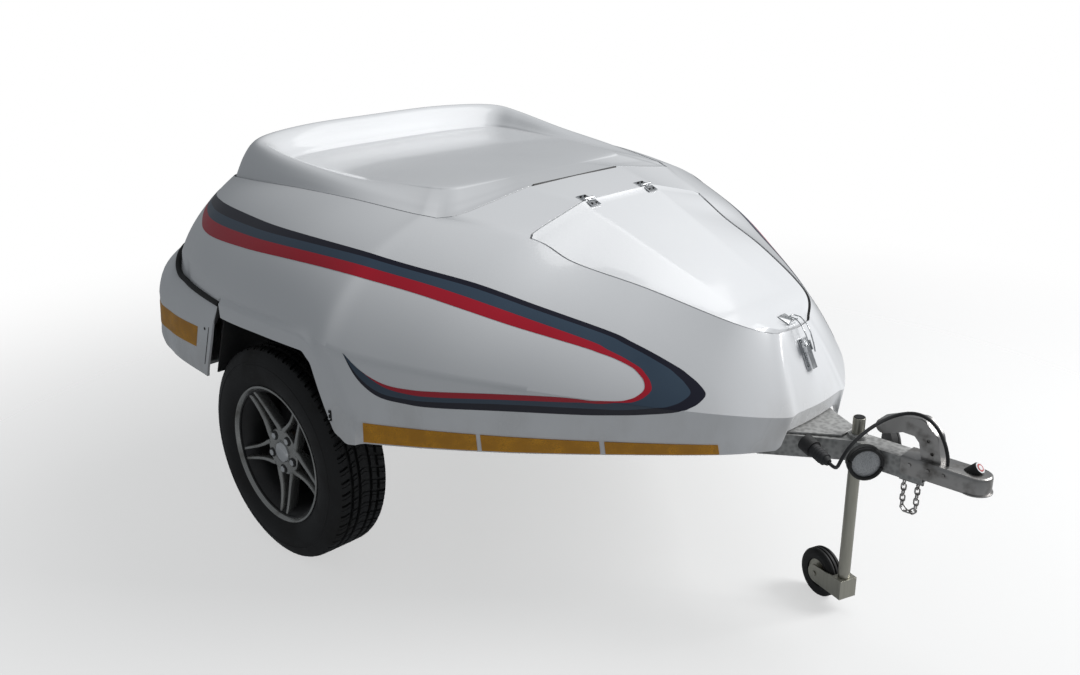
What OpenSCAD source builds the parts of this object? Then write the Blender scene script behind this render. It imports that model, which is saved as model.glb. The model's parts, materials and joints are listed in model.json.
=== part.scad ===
// Luggage trailer: a moulded body with a main lid and a nose lid, on a steel
// frame with a torsion axle, a drawbar with ball coupler, and a jockey wheel.
// Millimetres. X runs forward to the coupler, Y to the left, Z up.
// Sizes are laid out from the ground point under the axle; seat() then moves
// the whole trailer so that the origin lies under the middle of its length.

/* [Body] */
// Length of the body shell from its rear face to the tip of the nose
body_l = 1750; // [1600:1:1900]
// Width of the body shell over the wheels
body_w = 1580; // [1520:1:1640]
// Height of the body shell from the skirt's edge to the deck
body_h = 480; // [440:1:520]
// Height of the skirt's edge above the ground
skirt_z = 420; // [405:1:440]
// Distance from the axle back to the rear face of the body
rear_overhang = 655; // [630:1:690]
// Thickness of the moulded skin
skin_t = 7; // [5:0.5:9]

/* [Lids] */
// Gap between each lid and the body
lid_gap = 6; // [5:0.5:8]
// Thickness of the lids
lid_t = 7; // [5:0.5:9]
// Height of the raised lip at the rear of the main lid
lip_h = 100; // [60:1:120]
// Depth of the gutter round each opening
gutter_d = 22; // [18:1:28]
// Width of the ledge that carries each lid seal
ledge_w = 24; // [18:1:32]

/* [Bumper] */
// How far the bumper stands out from the body at its corners
bumper_ledge = 60; // [50:1:75]
// Height of the bumper's lower edge above the ground at the rear
bumper_z = 445; // [435:1:455]
// Height of the bumper at the rear
bumper_h = 195; // [188:1:202]

/* [Wheels] */
// Outer radius of the tyre
tyre_r = 280; // [270:1:290]
// Width of the tyre
tyre_w = 165; // [145:1:175]
// Radius of the rim's lip
rim_r = 182; // [170:1:190]
// Distance between the middles of the two tyres
track = 1390; // [1380:1:1400]
// Radius of the stub axles
stub_r = 14; // [12:0.5:18]

/* [Frame] */
// Width of the frame tubes
tube_w = 50; // [40:1:60]
// Height of the frame tubes
tube_h = 50; // [40:1:56]
// Distance between the middles of the two side rails
rail_gap = 840; // [780:1:900]
// Width of the drawbar tube
drawbar_w = 56; // [50:1:60]
// Wall thickness of the frame tubes
tube_t = 3; // [2:0.5:4]

/* [Coupler] */
// Distance from the tip of the nose to the front of the coupler
coupler_reach = 405; // [365:1:465]
// Radius of the ball socket
socket_r = 25.2; // [25.1:0.05:25.4]
// Depth of the ball socket
socket_d = 30; // [26:1:34]

/* [Jockey wheel] */
// Distance from the tip of the nose to the jockey tube
jockey_reach = 95; // [75:1:115]
// Radius of the jockey tube
jockey_r = 14; // [12:0.5:16]
// Height of the top of the jockey tube
jockey_top = 497; // [490:1:540]
// Radius of the jockey wheel
jockey_wheel_r = 60; // [50:1:65]
// Width of the jockey wheel
jockey_wheel_w = 36; // [30:1:40]

/* [Hidden] */
$fn = 48;

// General clearances: a seated joint, a running pin and the overrun of a cut
seat_gap = 0.3;
pin_gap = 0.1;
over = 1;

// Places along the trailer, from the axle
rear_x = -rear_overhang;
nose_x = rear_x + body_l;
jockey_x = nose_x + jockey_reach;
coupler_front = nose_x + coupler_reach;
// The foot of the wheel arch keeps its distance from the tyre, whatever the body's length
arch_clear = 36.25;
arch_x = tyre_r + arch_clear;
arch_share = 0.555;

// The body's four rails run round one half of the plan, from the middle of
// the rear by the side to the middle of the nose. Each row is one station:
// [x share of body_l from the rear, y share of half body_w, z share of body_h].
// Rows: rear middle, rear, rear corner, rear side, arch rear, arch middle,
// arch front, arch foot, nose lid corner, fore 1, fore 2, fore 3, nose corner,
// drawbar notch, nose middle.
lower_shares = [
    [0.000, 0.000, 0.433], [0.003, 0.440, 0.433], [0.044, 0.810, 0.437], [0.134, 0.914, 0.440],
    [0.277, 0.977, 0.406], [0.391, 0.994, 0.420], [0.507, 0.994, 0.429], [0.555, 0.990, 0.015],
    [0.649, 0.852, 0.005], [0.740, 0.696, 0.000], [0.831, 0.523, 0.000], [0.937, 0.304, 0.000],
    [0.982, 0.172, 0.000], [0.986, 0.138, 0.082], [0.989, 0.000, 0.082]];
belt_shares = [
    [0.002, 0.000, 0.583], [0.006, 0.430, 0.583], [0.050, 0.800, 0.583], [0.134, 0.909, 0.594],
    [0.277, 0.981, 0.573], [0.391, 0.999, 0.552], [0.507, 1.000, 0.517], [0.555, 0.978, 0.458],
    [0.649, 0.864, 0.400], [0.740, 0.724, 0.350], [0.834, 0.560, 0.296], [0.937, 0.344, 0.229],
    [0.990, 0.170, 0.175], [0.996, 0.105, 0.177], [1.000, 0.000, 0.179]];
shoulder_shares = [
    [0.019, 0.000, 0.792], [0.024, 0.400, 0.792], [0.063, 0.728, 0.792], [0.140, 0.829, 0.817],
    [0.278, 0.876, 0.823], [0.394, 0.886, 0.817], [0.503, 0.851, 0.792], [0.549, 0.810, 0.763],
    [0.649, 0.703, 0.692], [0.734, 0.589, 0.608], [0.829, 0.453, 0.508], [0.923, 0.285, 0.406],
    [0.968, 0.140, 0.354], [0.973, 0.085, 0.357], [0.976, 0.000, 0.359]];
rim_shares = [
    [0.047, 0.000, 0.967], [0.053, 0.370, 0.971], [0.089, 0.633, 0.985], [0.157, 0.684, 1.000],
    [0.283, 0.665, 1.010], [0.397, 0.639, 1.006], [0.497, 0.592, 0.977], [0.537, 0.559, 0.963],
    [0.653, 0.421, 0.892], [0.717, 0.382, 0.800], [0.810, 0.305, 0.715], [0.911, 0.203, 0.590],
    [0.945, 0.104, 0.521], [0.952, 0.061, 0.517], [0.955, 0.000, 0.515]];
// The bridge between the lids, from the side inwards: two corner points, the
// crease and the middle. Columns: [rear edge share, front edge share].
bridge_shares = [
    [[0.553, 0.525, 0.971], [0.646, 0.399, 0.906]],
    [[0.559, 0.475, 0.983], [0.645, 0.361, 0.923]],
    [[0.566, 0.222, 1.050], [0.645, 0.171, 1.004]],
    [[0.566, 0.000, 1.054], [0.645, 0.000, 1.006]]];
// Places of the two corner points on the way from the nose lid's edge to its crease
nose_facet_shares = [0.09, 0.24];
// Most that the nose lid's crease may take of the half width at the front
crease_limit_share = 0.85;
// The main lid's rings: [way in to the middle, blend to the tray, rise of the lip]
lid_shares = [
    [0.000, 0.00, 0.00], [0.035, 0.12, 0.55], [0.075, 0.30, 0.92], [0.115, 0.45, 1.00],
    [0.165, 0.65, 0.72], [0.225, 0.85, 0.22], [0.290, 1.00, 0.00], [0.640, 1.00, 0.00]];
// Level of the main lid's flat tray
tray_share = 1.054;
// Stand-out of the bumper at the first five stations of the plan
ledge_shares = [0.696, 0.717, 1.00, 0.80, 0.22];
// Bumper profile from its lower edge up: [inset share, height share, share of the wall that is level]
bumper_shares = [
    [0.13, 0.00, 0.0], [0.00, 0.12, 0.0], [0.00, 0.24, 0.0], [0.00, 0.34, 0.0], [0.00, 0.60, 0.0],
    [0.00, 0.70, 0.1], [0.17, 0.86, 0.6], [0.55, 0.96, 1.0], [0.88, 1.00, 1.0]];

steps = 3;
levels = 6;
// Share of the skirt under its reflecting strips
skirt_share = 0.25;
wall_levels = concat([0, skirt_share], [for (v = [1:levels]) v]);
top = len(wall_levels) - 1;
side_rows = len(lower_shares) - 1;
main_corner_row = 7;
nose_corner_row = 8;
half_count = side_rows * steps + 1;
ring_count = 2 * half_count - 2;
main_corner = main_corner_row * steps;
nose_corner = nose_corner_row * steps;
bridge_cols = nose_corner - main_corner + 1;
bridge_mid = len(bridge_shares);
bridge_rows = 2 * bridge_mid;

// Small interpolation helpers
function mix(a, b, t) = a + (b - a) * t;
function flip(p) = [p.x, -p.y, p.z];
function flat(grid) = [for (row = grid) for (p = row) p];
function down(points, d) = [for (p = points) p - [0, 0, d]];
function spline(p, q, r, s, t) =
    q + ((r - p) * t + (2 * p - 5 * q + 4 * r - s) * t * t + (3 * q - p - 3 * r + s) * t * t * t) / 2;
function crown(p, q, r, t) = p * (1 - t) * (1 - 2 * t) + q * 4 * t * (1 - t) + r * t * (2 * t - 1);

// A station u runs from 0 at the middle of the rear to side_rows at the nose
function row_of(rail, i) = i < 0 ? flip(rail[-i]) : i > side_rows ? flip(rail[2 * side_rows - i]) : rail[i];
function span_of(u) = min(floor(u), side_rows - 1);
function along(rail, u) =
    let (i = span_of(u))
    spline(row_of(rail, i - 1), row_of(rail, i), row_of(rail, i + 1), row_of(rail, i + 2), u - i);
function body_x(share) =
    share < arch_share ? mix(rear_x, arch_x, share / arch_share)
    : mix(arch_x, nose_x, (share - arch_share) / (1 - arch_share));
function body_at(s) = [body_x(s.x), -s.y * body_w / 2, skirt_z + s.z * body_h];
function scaled(shares, x, y) = [for (s = shares) [s[0] * x, s[1] * y]];
function lower_at(u) =
    let (i = span_of(u), s = along(lower_shares, u), z = mix(lower_shares[i].z, lower_shares[i + 1].z, u - i))
    body_at([s.x, s.y, z]);
function belt_at(u) = body_at(along(belt_shares, u));
function rim_at(u) = body_at(along(rim_shares, u));
function wall_at(u, v) =
    v <= 1 ? mix(lower_at(u), belt_at(u), v)
    : crown(belt_at(u), body_at(along(shoulder_shares, u)), rim_at(u), (v - 1) / (levels - 1));
function bridge_at(r, t) =
    let (row = bridge_shares[(r <= bridge_mid ? r : bridge_rows - r) - 1],
         p = mix(body_at(row[0]), body_at(row[1]), t))
    r <= bridge_mid ? p : flip(p);

// Closed rings run counter-clockwise as seen from above
stations = [for (k = [0:half_count - 1]) k / steps];
function ring_at(v) =
    let (half = [for (u = stations) wall_at(u, v)])
    concat(half, [for (k = [half_count - 2:-1:1]) flip(half[k])]);
function inward(ring, k) =
    let (n = len(ring), d = ring[(k + 1) % n] - ring[(k + n - 1) % n], l = norm([d.x, d.y]))
    [-d.y / l, d.x / l, 0];
function inset(ring, by) = [for (k = [0:len(ring) - 1]) ring[k] + by * inward(ring, k)];

rim_ring = ring_at(levels);
main_loop = concat(
    [for (k = [0:main_corner]) rim_ring[k]],
    [for (r = [1:bridge_rows - 1]) bridge_at(r, 0)],
    [for (k = [main_corner:-1:1]) rim_ring[ring_count - k]]);
nose_loop = concat(
    [for (k = [nose_corner:half_count - 1]) rim_ring[k]],
    [for (k = [half_count - 2:-1:nose_corner]) rim_ring[ring_count - k]],
    [for (r = [bridge_rows - 1:-1:1]) bridge_at(r, 1)]);
main_count = len(main_loop);
nose_count = len(nose_loop);
nose_rows = half_count - 1 - nose_corner;
nose_left = [nose_rows, 2 * nose_rows + bridge_mid];

// Faces are listed clockwise as seen from outside. The left half is cut along the
// other diagonal, so that both halves of the trailer mirror each other.
function quad(a, b, c, d) = [[a, b, c], [a, c, d]];
function turned_quad(a, b, c, d) = [[a, b, d], [b, c, d]];
function either_quad(left, a, b, c, d) = left ? turned_quad(a, b, c, d) : quad(a, b, c, d);
function back_quad(left, a, b, c, d) = [for (t = either_quad(left, a, b, c, d)) [t[0], t[2], t[1]]];
function loop_strip(low, high, left) =
    let (n = len(low), l = is_undef(left) ? [n / 2, n] : left)
    [for (k = [0:n - 1]) each either_quad(
        k >= l[0] && k < l[1], low[k], high[k], high[(k + 1) % n], low[(k + 1) % n])];
function ids(first, count) = [for (k = [0:count - 1]) first + k];

// A closed slab between two grids of points, the front one on the outside;
// the rows before the given one lie on the left half
module slab(front, back, left_rows = 0) {
    rows = len(front);
    cols = len(front[0]);
    size = rows * cols;
    function f(i, j) = i * cols + j;
    function b(i, j) = size + i * cols + j;
    polyhedron(concat(flat(front), flat(back)), concat(
        [for (i = [0:rows - 2]) for (j = [0:cols - 2])
            each either_quad(i < left_rows, f(i, j), f(i, j + 1), f(i + 1, j + 1), f(i + 1, j))],
        [for (i = [0:rows - 2]) for (j = [0:cols - 2])
            each back_quad(i < left_rows, b(i, j), b(i, j + 1), b(i + 1, j + 1), b(i + 1, j))],
        [for (i = [0:rows - 2]) each quad(b(i, 0), f(i, 0), f(i + 1, 0), b(i + 1, 0))],
        [for (i = [0:rows - 2], j = [cols - 1])
            each back_quad(false, b(i, j), f(i, j), f(i + 1, j), b(i + 1, j))],
        [for (j = [0:cols - 2]) each back_quad(false, b(0, j), f(0, j), f(0, j + 1), b(0, j + 1))],
        [for (j = [0:cols - 2], i = [rows - 1]) each quad(b(i, j), f(i, j), f(i, j + 1), b(i, j + 1))]));
}

// A closed tube through a cycle of rings
module ring_tube(rings, left) {
    n = len(rings[0]);
    m = len(rings);
    polyhedron(flat(rings), [for (j = [0:m - 1])
        each loop_strip(ids(j * n, n), ids(((j + 1) % m) * n, n), left)]);
}

// A closed shell through a stack of rings, with a point at each end
module ring_shell(rings, first, last) {
    n = len(rings[0]);
    m = len(rings);
    a = n * m;
    polyhedron(concat(flat(rings), [first, last]), concat(
        [for (j = [0:m - 2]) each loop_strip(ids(j * n, n), ids((j + 1) * n, n))],
        [for (k = [0:n - 1]) [k, (k + 1) % n, a]],
        [for (k = [0:n - 1]) [(m - 1) * n + k, a + 1, (m - 1) * n + (k + 1) % n]]));
}

// Body shell: outer skin, bridge, a gutter with ledge round each opening, inner skin
gutter_z = gutter_d + skin_t;
main_ledge = down(inset(main_loop, ledge_w), gutter_d);
nose_ledge = down(inset(nose_loop, ledge_w), gutter_d);
main_under = down(main_ledge, skin_t);
nose_under = down(nose_ledge, skin_t);
under_rim = down(inset(rim_ring, skin_t), gutter_z);
function under_at(k) =
    let (i = k < half_count ? k : ring_count - k)
    i <= main_corner ? main_under[k < half_count ? i : main_count - i]
    : i >= nose_corner ? nose_under[k < half_count ? i - nose_corner : 2 * (half_count - 1) - nose_corner - i]
    : under_rim[k];
function under_bridge(r, j) =
    j == 0 ? main_under[main_corner + r]
    : j == bridge_cols - 1 ? nose_under[nose_count - r]
    : bridge_at(r, j / (bridge_cols - 1)) - [0, 0, gutter_z];

module body_shell() {
    shell_size = (top + 1) * ring_count;
    bridge_size = (bridge_rows - 1) * bridge_cols;
    bridge_first = 2 * shell_size;
    gutter_first = bridge_first + 2 * bridge_size;
    ledge_first = gutter_first + main_count;
    nose_gutter_first = ledge_first + main_count;
    nose_ledge_first = nose_gutter_first + nose_count;
    function o(v, k) = v * ring_count + k % ring_count;
    function i(v, k) = shell_size + o(v, k);
    function deck(first, base, r, j) =
        r == 0 ? base + main_corner + j
        : r == bridge_rows ? base + ring_count - main_corner - j
        : first + (r - 1) * bridge_cols + j;
    function d(r, j) = deck(bridge_first, o(top, 0), r, j);
    function u(r, j) = deck(bridge_first + bridge_size, i(top, 0), r, j);
    function main_ids(base, bridge_ids) = concat(
        [for (k = [0:main_corner]) base + k], bridge_ids,
        [for (k = [main_corner:-1:1]) base + ring_count - k]);
    function nose_ids(base, bridge_ids) = concat(
        [for (k = [nose_corner:half_count - 1]) base + k],
        [for (k = [half_count - 2:-1:nose_corner]) base + ring_count - k], bridge_ids);
    main_top = main_ids(o(top, 0), [for (r = [1:bridge_rows - 1]) d(r, 0)]);
    main_low = main_ids(i(top, 0), [for (r = [1:bridge_rows - 1]) u(r, 0)]);
    nose_top = nose_ids(o(top, 0), [for (r = [bridge_rows - 1:-1:1]) d(r, bridge_cols - 1)]);
    nose_low = nose_ids(i(top, 0), [for (r = [bridge_rows - 1:-1:1]) u(r, bridge_cols - 1)]);
    points = concat(
        [for (v = wall_levels) each ring_at(v)],
        [for (v = wall_levels) if (v < levels) each down(inset(ring_at(v), skin_t), v > 1 ? skin_t : 0)],
        [for (k = [0:ring_count - 1]) under_at(k)],
        [for (r = [1:bridge_rows - 1]) for (j = [0:bridge_cols - 1]) bridge_at(r, j / (bridge_cols - 1))],
        [for (r = [1:bridge_rows - 1]) for (j = [0:bridge_cols - 1]) under_bridge(r, j)],
        down(main_loop, gutter_d), main_ledge, down(nose_loop, gutter_d), nose_ledge);
    faces = concat(
        [for (v = [0:top - 1]) each loop_strip(ids(o(v, 0), ring_count), ids(o(v + 1, 0), ring_count))],
        [for (v = [0:top - 1]) each loop_strip(ids(i(v + 1, 0), ring_count), ids(i(v, 0), ring_count))],
        loop_strip(ids(i(0, 0), ring_count), ids(o(0, 0), ring_count)),
        [for (r = [0:bridge_rows - 1]) for (j = [0:bridge_cols - 2])
            each either_quad(r >= bridge_mid, d(r, j), d(r + 1, j), d(r + 1, j + 1), d(r, j + 1))],
        [for (r = [0:bridge_rows - 1]) for (j = [0:bridge_cols - 2])
            each back_quad(r >= bridge_mid, u(r, j), u(r + 1, j), u(r + 1, j + 1), u(r, j + 1))],
        loop_strip(main_top, ids(gutter_first, main_count)),
        loop_strip(ids(gutter_first, main_count), ids(ledge_first, main_count)),
        loop_strip(ids(ledge_first, main_count), main_low),
        loop_strip(nose_top, ids(nose_gutter_first, nose_count), nose_left),
        loop_strip(ids(nose_gutter_first, nose_count), ids(nose_ledge_first, nose_count), nose_left),
        loop_strip(ids(nose_ledge_first, nose_count), nose_low, nose_left));
    color("white") polyhedron(points, faces);
}

// Lids: each follows the loop of its opening, with a flange that bears on a seal
flange_d = gutter_d / 2 - skin_t / 2;
seal_gap = 1.2;
function seal_rings(loop) =
    let (outer = inset(loop, lid_gap - over), inner = inset(loop, lid_gap + lid_t + over))
    [down(outer, gutter_d - seal_gap), down(outer, flange_d + seal_gap),
     down(inner, flange_d + seal_gap), down(inner, gutter_d - seal_gap)];
module main_seal() {
    color("black") ring_tube(seal_rings(main_loop));
}
module nose_seal() {
    color("black") ring_tube(seal_rings(nose_loop), nose_left);
}

main_mid = mix(rim_at(0), bridge_at(bridge_mid, 0), 1 / 2);
tray_z = skirt_z + tray_share * body_h;
lid_front_x = bridge_at(bridge_mid, 0).x;
lid_rear_x = rim_at(0).x;
function lip_at(p) = lip_h * pow(max(0, (lid_front_x - p.x) / (lid_front_x - lid_rear_x)), 2);
function lid_ring(edge, row) =
    [for (p = edge)
        [mix(p.x, main_mid.x, row[0]), mix(p.y, 0, row[0]), mix(p.z, tray_z, row[1]) + lip_at(p) * row[2]]];
module main_lid() {
    outer_edge = inset(main_loop, lid_gap);
    inner_edge = inset(main_loop, lid_gap + lid_t);
    outer = [for (row = lid_shares) lid_ring(outer_edge, row)];
    inner = [for (row = lid_shares) down(lid_ring(inner_edge, row), lid_t)];
    count = len(lid_shares);
    rings = concat(
        [for (k = [count - 1:-1:0]) inner[k]],
        [down(inner_edge, flange_d), down(outer_edge, flange_d)],
        outer);
    top = [main_mid.x, 0, tray_z];
    color("white") ring_shell(rings, top - [0, 0, lid_t], top);
}

nose_crease = bridge_at(bridge_mid - 1, 1);
nose_tip = rim_at(side_rows);
nose_front = rim_at(side_rows - 2);
function crease_share(x) = (x - nose_crease.x) / (nose_tip.x - nose_crease.x);
function crease_z(x) = mix(nose_crease.z, nose_tip.z, crease_share(x));
function crease_y(x) = mix(-nose_crease.y, -nose_front.y, crease_share(x));
// One row of the nose lid from its right edge to its left, through both creases
function nose_row(loop, i) =
    let (p = loop[i], y = min(crease_y(p.x), -p.y * crease_limit_share), z = max(p.z, crease_z(p.x)),
         c = [p.x, -y, z], m = [p.x, 0, z],
         half = concat([p], [for (s = nose_facet_shares) mix(p, c, s)], [c]))
    concat(half, [m], [for (k = [len(half) - 1:-1:0]) flip(half[k])]);
function nose_rear_row(loop) = concat(
    [loop[0]], [for (r = [1:bridge_rows - 1]) loop[nose_count - r]], [loop[2 * nose_rows]]);
function nose_grid(loop) = concat([nose_rear_row(loop)], [for (i = [1:nose_rows - 1]) nose_row(loop, i)]);
module nose_lid() {
    outer_loop = inset(nose_loop, lid_gap);
    inner_loop = inset(nose_loop, lid_gap + lid_t);
    outer = nose_grid(outer_loop);
    inner = [for (row = nose_grid(inner_loop)) down(row, lid_t)];
    cols = bridge_rows + 1;
    grid = nose_rows * cols;
    second = grid + 1;
    flange_out = 2 * second;
    flange_in = flange_out + nose_count;
    function g(first, i, j) = first + i * cols + j;
    function rim_ids(first) = concat(
        [for (i = [0:nose_rows - 1]) g(first, i, 0)], [first + grid],
        [for (i = [nose_rows - 1:-1:0]) g(first, i, cols - 1)], [for (j = [cols - 2:-1:1]) g(first, 0, j)]);
    points = concat(
        flat(outer), [outer_loop[nose_rows]], flat(inner), [inner_loop[nose_rows] - [0, 0, lid_t]],
        down(outer_loop, flange_d), down(inner_loop, flange_d));
    faces = concat(
        [for (i = [0:nose_rows - 2]) for (j = [0:cols - 2])
            each either_quad(
                j >= bridge_mid, g(0, i, j), g(0, i, j + 1), g(0, i + 1, j + 1), g(0, i + 1, j))],
        [for (j = [0:cols - 2]) [g(0, nose_rows - 1, j), g(0, nose_rows - 1, j + 1), grid]],
        [for (i = [0:nose_rows - 2]) for (j = [0:cols - 2])
            each back_quad(
                j >= bridge_mid, g(second, i, j), g(second, i, j + 1),
                g(second, i + 1, j + 1), g(second, i + 1, j))],
        [for (j = [0:cols - 2])
            [g(second, nose_rows - 1, j + 1), g(second, nose_rows - 1, j), second + grid]],
        loop_strip(rim_ids(second), ids(flange_in, nose_count), nose_left),
        loop_strip(ids(flange_in, nose_count), ids(flange_out, nose_count), nose_left),
        loop_strip(ids(flange_out, nose_count), rim_ids(0), nose_left));
    color("white") polyhedron(points, faces);
}

// Bumper: a wall swept round the rear of the plan, up to the wheel arches
bumper_end = 3.93;
bumper_steps = 15;
bumper_slant = 83;
bumper_end_drop = 20;
bumper_top = bumper_z + bumper_h;
seal_shares = [0.89, 0.93];
bumper_seal_h = 16;
bumper_seal_rise = 6;
u_step = 0.01;
function plan_at(u) = body_at(along(lower_shares, u));
function out_at(u) =
    let (d = plan_at(u + u_step) - plan_at(u - u_step), l = norm([d.x, d.y])) [d.y / l, -d.x / l, 0];
function ledge_at(u) =
    let (n = len(ledge_shares) - 1, i = min(floor(u), n - 1), s = ledge_shares)
    bumper_ledge * spline(s[abs(i - 1)], s[i], s[i + 1], s[min(i + 2, n)], u - i);
function bumper_at(u, in_share, in_by, h) =
    let (e = pow(u / bumper_end, 2), p = plan_at(u) + out_at(u) * (ledge_at(u) * (1 - in_share) - in_by),
         low = bumper_z - bumper_end_drop * e)
    [p.x - bumper_slant * (1 - h) * e, p.y, mix(low, bumper_top, h)];
// A grid right round the bumper, from its left end by the rear to its right end
function bumper_round(rows, in_by) = [for (k = [-bumper_steps:bumper_steps])
    let (u = bumper_end * abs(k) / bumper_steps)
    [for (r = rows)
        let (p = bumper_at(u, r[0], in_by * (1 - r[2]), r[1]) - [0, 0, in_by * r[2]]) k < 0 ? flip(p) : p]];
// A patch on the right side of the bumper, standing off it by a distance
function bumper_patch(spans, shares, off) = [for (k = [spans[0]:spans[1]])
    let (u = bumper_end * k / bumper_steps) [for (h = shares) bumper_at(u, 0, -off, h)]];

module both_sides() {
    children();
    mirror([0, 1, 0]) children();
}
module rear_bumper() {
    color("white") slab(bumper_round(bumper_shares, 0), bumper_round(bumper_shares, skin_t), bumper_steps);
}
module bumper_seal() {
    foot = bumper_top - bumper_seal_h + bumper_seal_rise;
    function strip(s) = [for (k = [-bumper_steps:bumper_steps])
        let (p = bumper_at(bumper_end * abs(k) / bumper_steps, s, 0, 1), q = [p.x, k < 0 ? -p.y : p.y, foot])
        [q, q + [0, 0, bumper_seal_h]]];
    color("black") slab(strip(seal_shares[0]), strip(seal_shares[1]), bumper_steps);
}
// Lamps and reflecting strips lie on the wall's own stations
lamp_spans = [5, 7];
lamp_height_shares = [0.24, 0.34, 0.60];
lamp_t = 9;
strip_gap = 0.3;
strip_t = 2;
module tail_lamps() {
    function patch(off) = bumper_patch(lamp_spans, lamp_height_shares, off);
    color("firebrick") both_sides() slab(patch(lamp_t), patch(strip_gap));
}
bumper_strip_spans = [8, 14];
bumper_strip_shares = [0.34, 0.60];
module bumper_reflectors() {
    function patch(off) = bumper_patch(bumper_strip_spans, bumper_strip_shares, off);
    color("goldenrod") both_sides() slab(patch(strip_t + strip_gap), patch(strip_gap));
}
// Three reflecting strips along each skirt: first and last station, counted in steps
skirt_strip_spans = [[22, 25.85], [26, 29.85], [30, 33]];
skirt_strip_low = 0.02;
module side_reflectors() {
    function patch(s, off) = [for (k = concat([for (k = [s[0]:s[1]]) k], floor(s[1]) < s[1] ? [s[1]] : []))
        let (u = k / steps) [for (v = [skirt_strip_low, skirt_share]) wall_at(u, v) + out_at(u) * off]];
    color("goldenrod") both_sides()
        for (s = skirt_strip_spans) slab(patch(s, strip_t + strip_gap), patch(s, strip_gap));
}

// Frame: two side rails, two arms that meet at the drawbar, cross members
frame_rise = 29;
frame_top = skirt_z + frame_rise;
frame_low = frame_top - tube_h;
rail_inset = 45;
rail_rear = rear_x + rail_inset;
arm_share = 0.63;
arm_x = rear_x + arm_share * body_l;
arm_run = jockey_x - arm_x;
arm_angle = atan2(rail_gap / 2, arm_run);
drawbar_back = 230;
drawbar_rear = jockey_x - drawbar_back;
shank_l = 50;
coupler_l = 190;
coupler_rear = coupler_front - coupler_l;
drawbar_front = coupler_rear + shank_l;
function arm_y(x) = rail_gap / 2 * (jockey_x - x) / arm_run;
arm_half = tube_w / 2 / cos(arm_angle);

module box_tube(l, w, h) {
    difference() {
        translate([0, -w / 2, 0]) cube([l, w, h]);
        translate([-over, tube_t - w / 2, tube_t]) cube([l + 2 * over, w - 2 * tube_t, h - 2 * tube_t]);
    }
}
module rail(side) {
    color("silver") translate([rail_rear, side * rail_gap / 2, frame_low])
        box_tube(arm_x - rail_rear, tube_w, tube_h);
}
module arm(side) {
    cut_w = drawbar_w + 2 * seat_gap;
    color("silver") difference() {
        translate([jockey_x, 0, frame_low]) rotate(180 - side * arm_angle)
            box_tube(arm_run / cos(arm_angle) + tube_w, tube_w, tube_h);
        translate([0, -cut_w / 2, frame_low - over]) cube([jockey_x + tube_w, cut_w, tube_h + 2 * over]);
        translate([0, side > 0 ? -rail_gap : 0, frame_low - over])
            cube([jockey_x + tube_w, rail_gap, tube_h + 2 * over]);
        translate([arm_x + seat_gap - 2 * tube_w, -rail_gap, frame_low - over])
            cube([2 * tube_w, 2 * rail_gap, tube_h + 2 * over]);
    }
}
cross_shares = [0.06, 0.56];
module cross_members() {
    function bar_l(half) = 2 * (half - seat_gap);
    front_x = drawbar_rear - tube_w - seat_gap;
    rail_in = rail_gap / 2 - tube_w / 2;
    color("silver") {
        for (s = cross_shares) translate([rear_x + s * body_l + tube_w, -rail_in + seat_gap, frame_low])
            rotate(90) box_tube(bar_l(rail_in), tube_w, tube_h);
        translate([front_x + tube_w / 2, -arm_y(front_x + tube_w) + arm_half + seat_gap, frame_low])
            rotate(90) box_tube(bar_l(arm_y(front_x + tube_w) - arm_half), tube_w, tube_h);
    }
}
sleeve_t = 4;
sleeve_r = jockey_r + pin_gap + sleeve_t;
sleeve_below = 16;
sleeve_above = 10;
sleeve_collar_h = 8;
lug_t = 5;
lug_h = 16;
lug_l = 56;
lug_ahead = 16;
lug_x = coupler_rear + lug_ahead;
lug_hole_r = 5.8;
module drawbar() {
    color("darkgray") difference() {
        union() {
            translate([drawbar_rear, 0, frame_low]) box_tube(drawbar_front - drawbar_rear, drawbar_w, tube_h);
            translate([lug_x - lug_l / 2, -lug_t / 2, frame_low - lug_h])
                cube([lug_l, lug_t, lug_h + tube_t / 2]);
        }
        translate([jockey_x, 0, frame_low - over]) cylinder(r = sleeve_r + seat_gap, h = tube_h + 2 * over);
        for (side = [-1, 1]) translate([lug_x + side * chain_w / 2, lug_t, frame_low - lug_h / 2])
            rotate([90, 0, 0]) cylinder(r = lug_hole_r, h = 2 * lug_t);
    }
}
gusset_t = 6;
gusset_rear = drawbar_rear + tube_w;
gusset_front = jockey_x - sleeve_r - gusset_t;
module drawbar_gusset() {
    rear_half = arm_y(gusset_rear) + arm_half;
    color("silver") for (z = [frame_top + seat_gap, frame_low - seat_gap - gusset_t])
        translate([0, 0, z]) linear_extrude(gusset_t) polygon([
            [gusset_rear, -rear_half], [gusset_front, -drawbar_w / 2],
            [gusset_front, drawbar_w / 2], [gusset_rear, rear_half]]);
}

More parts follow.
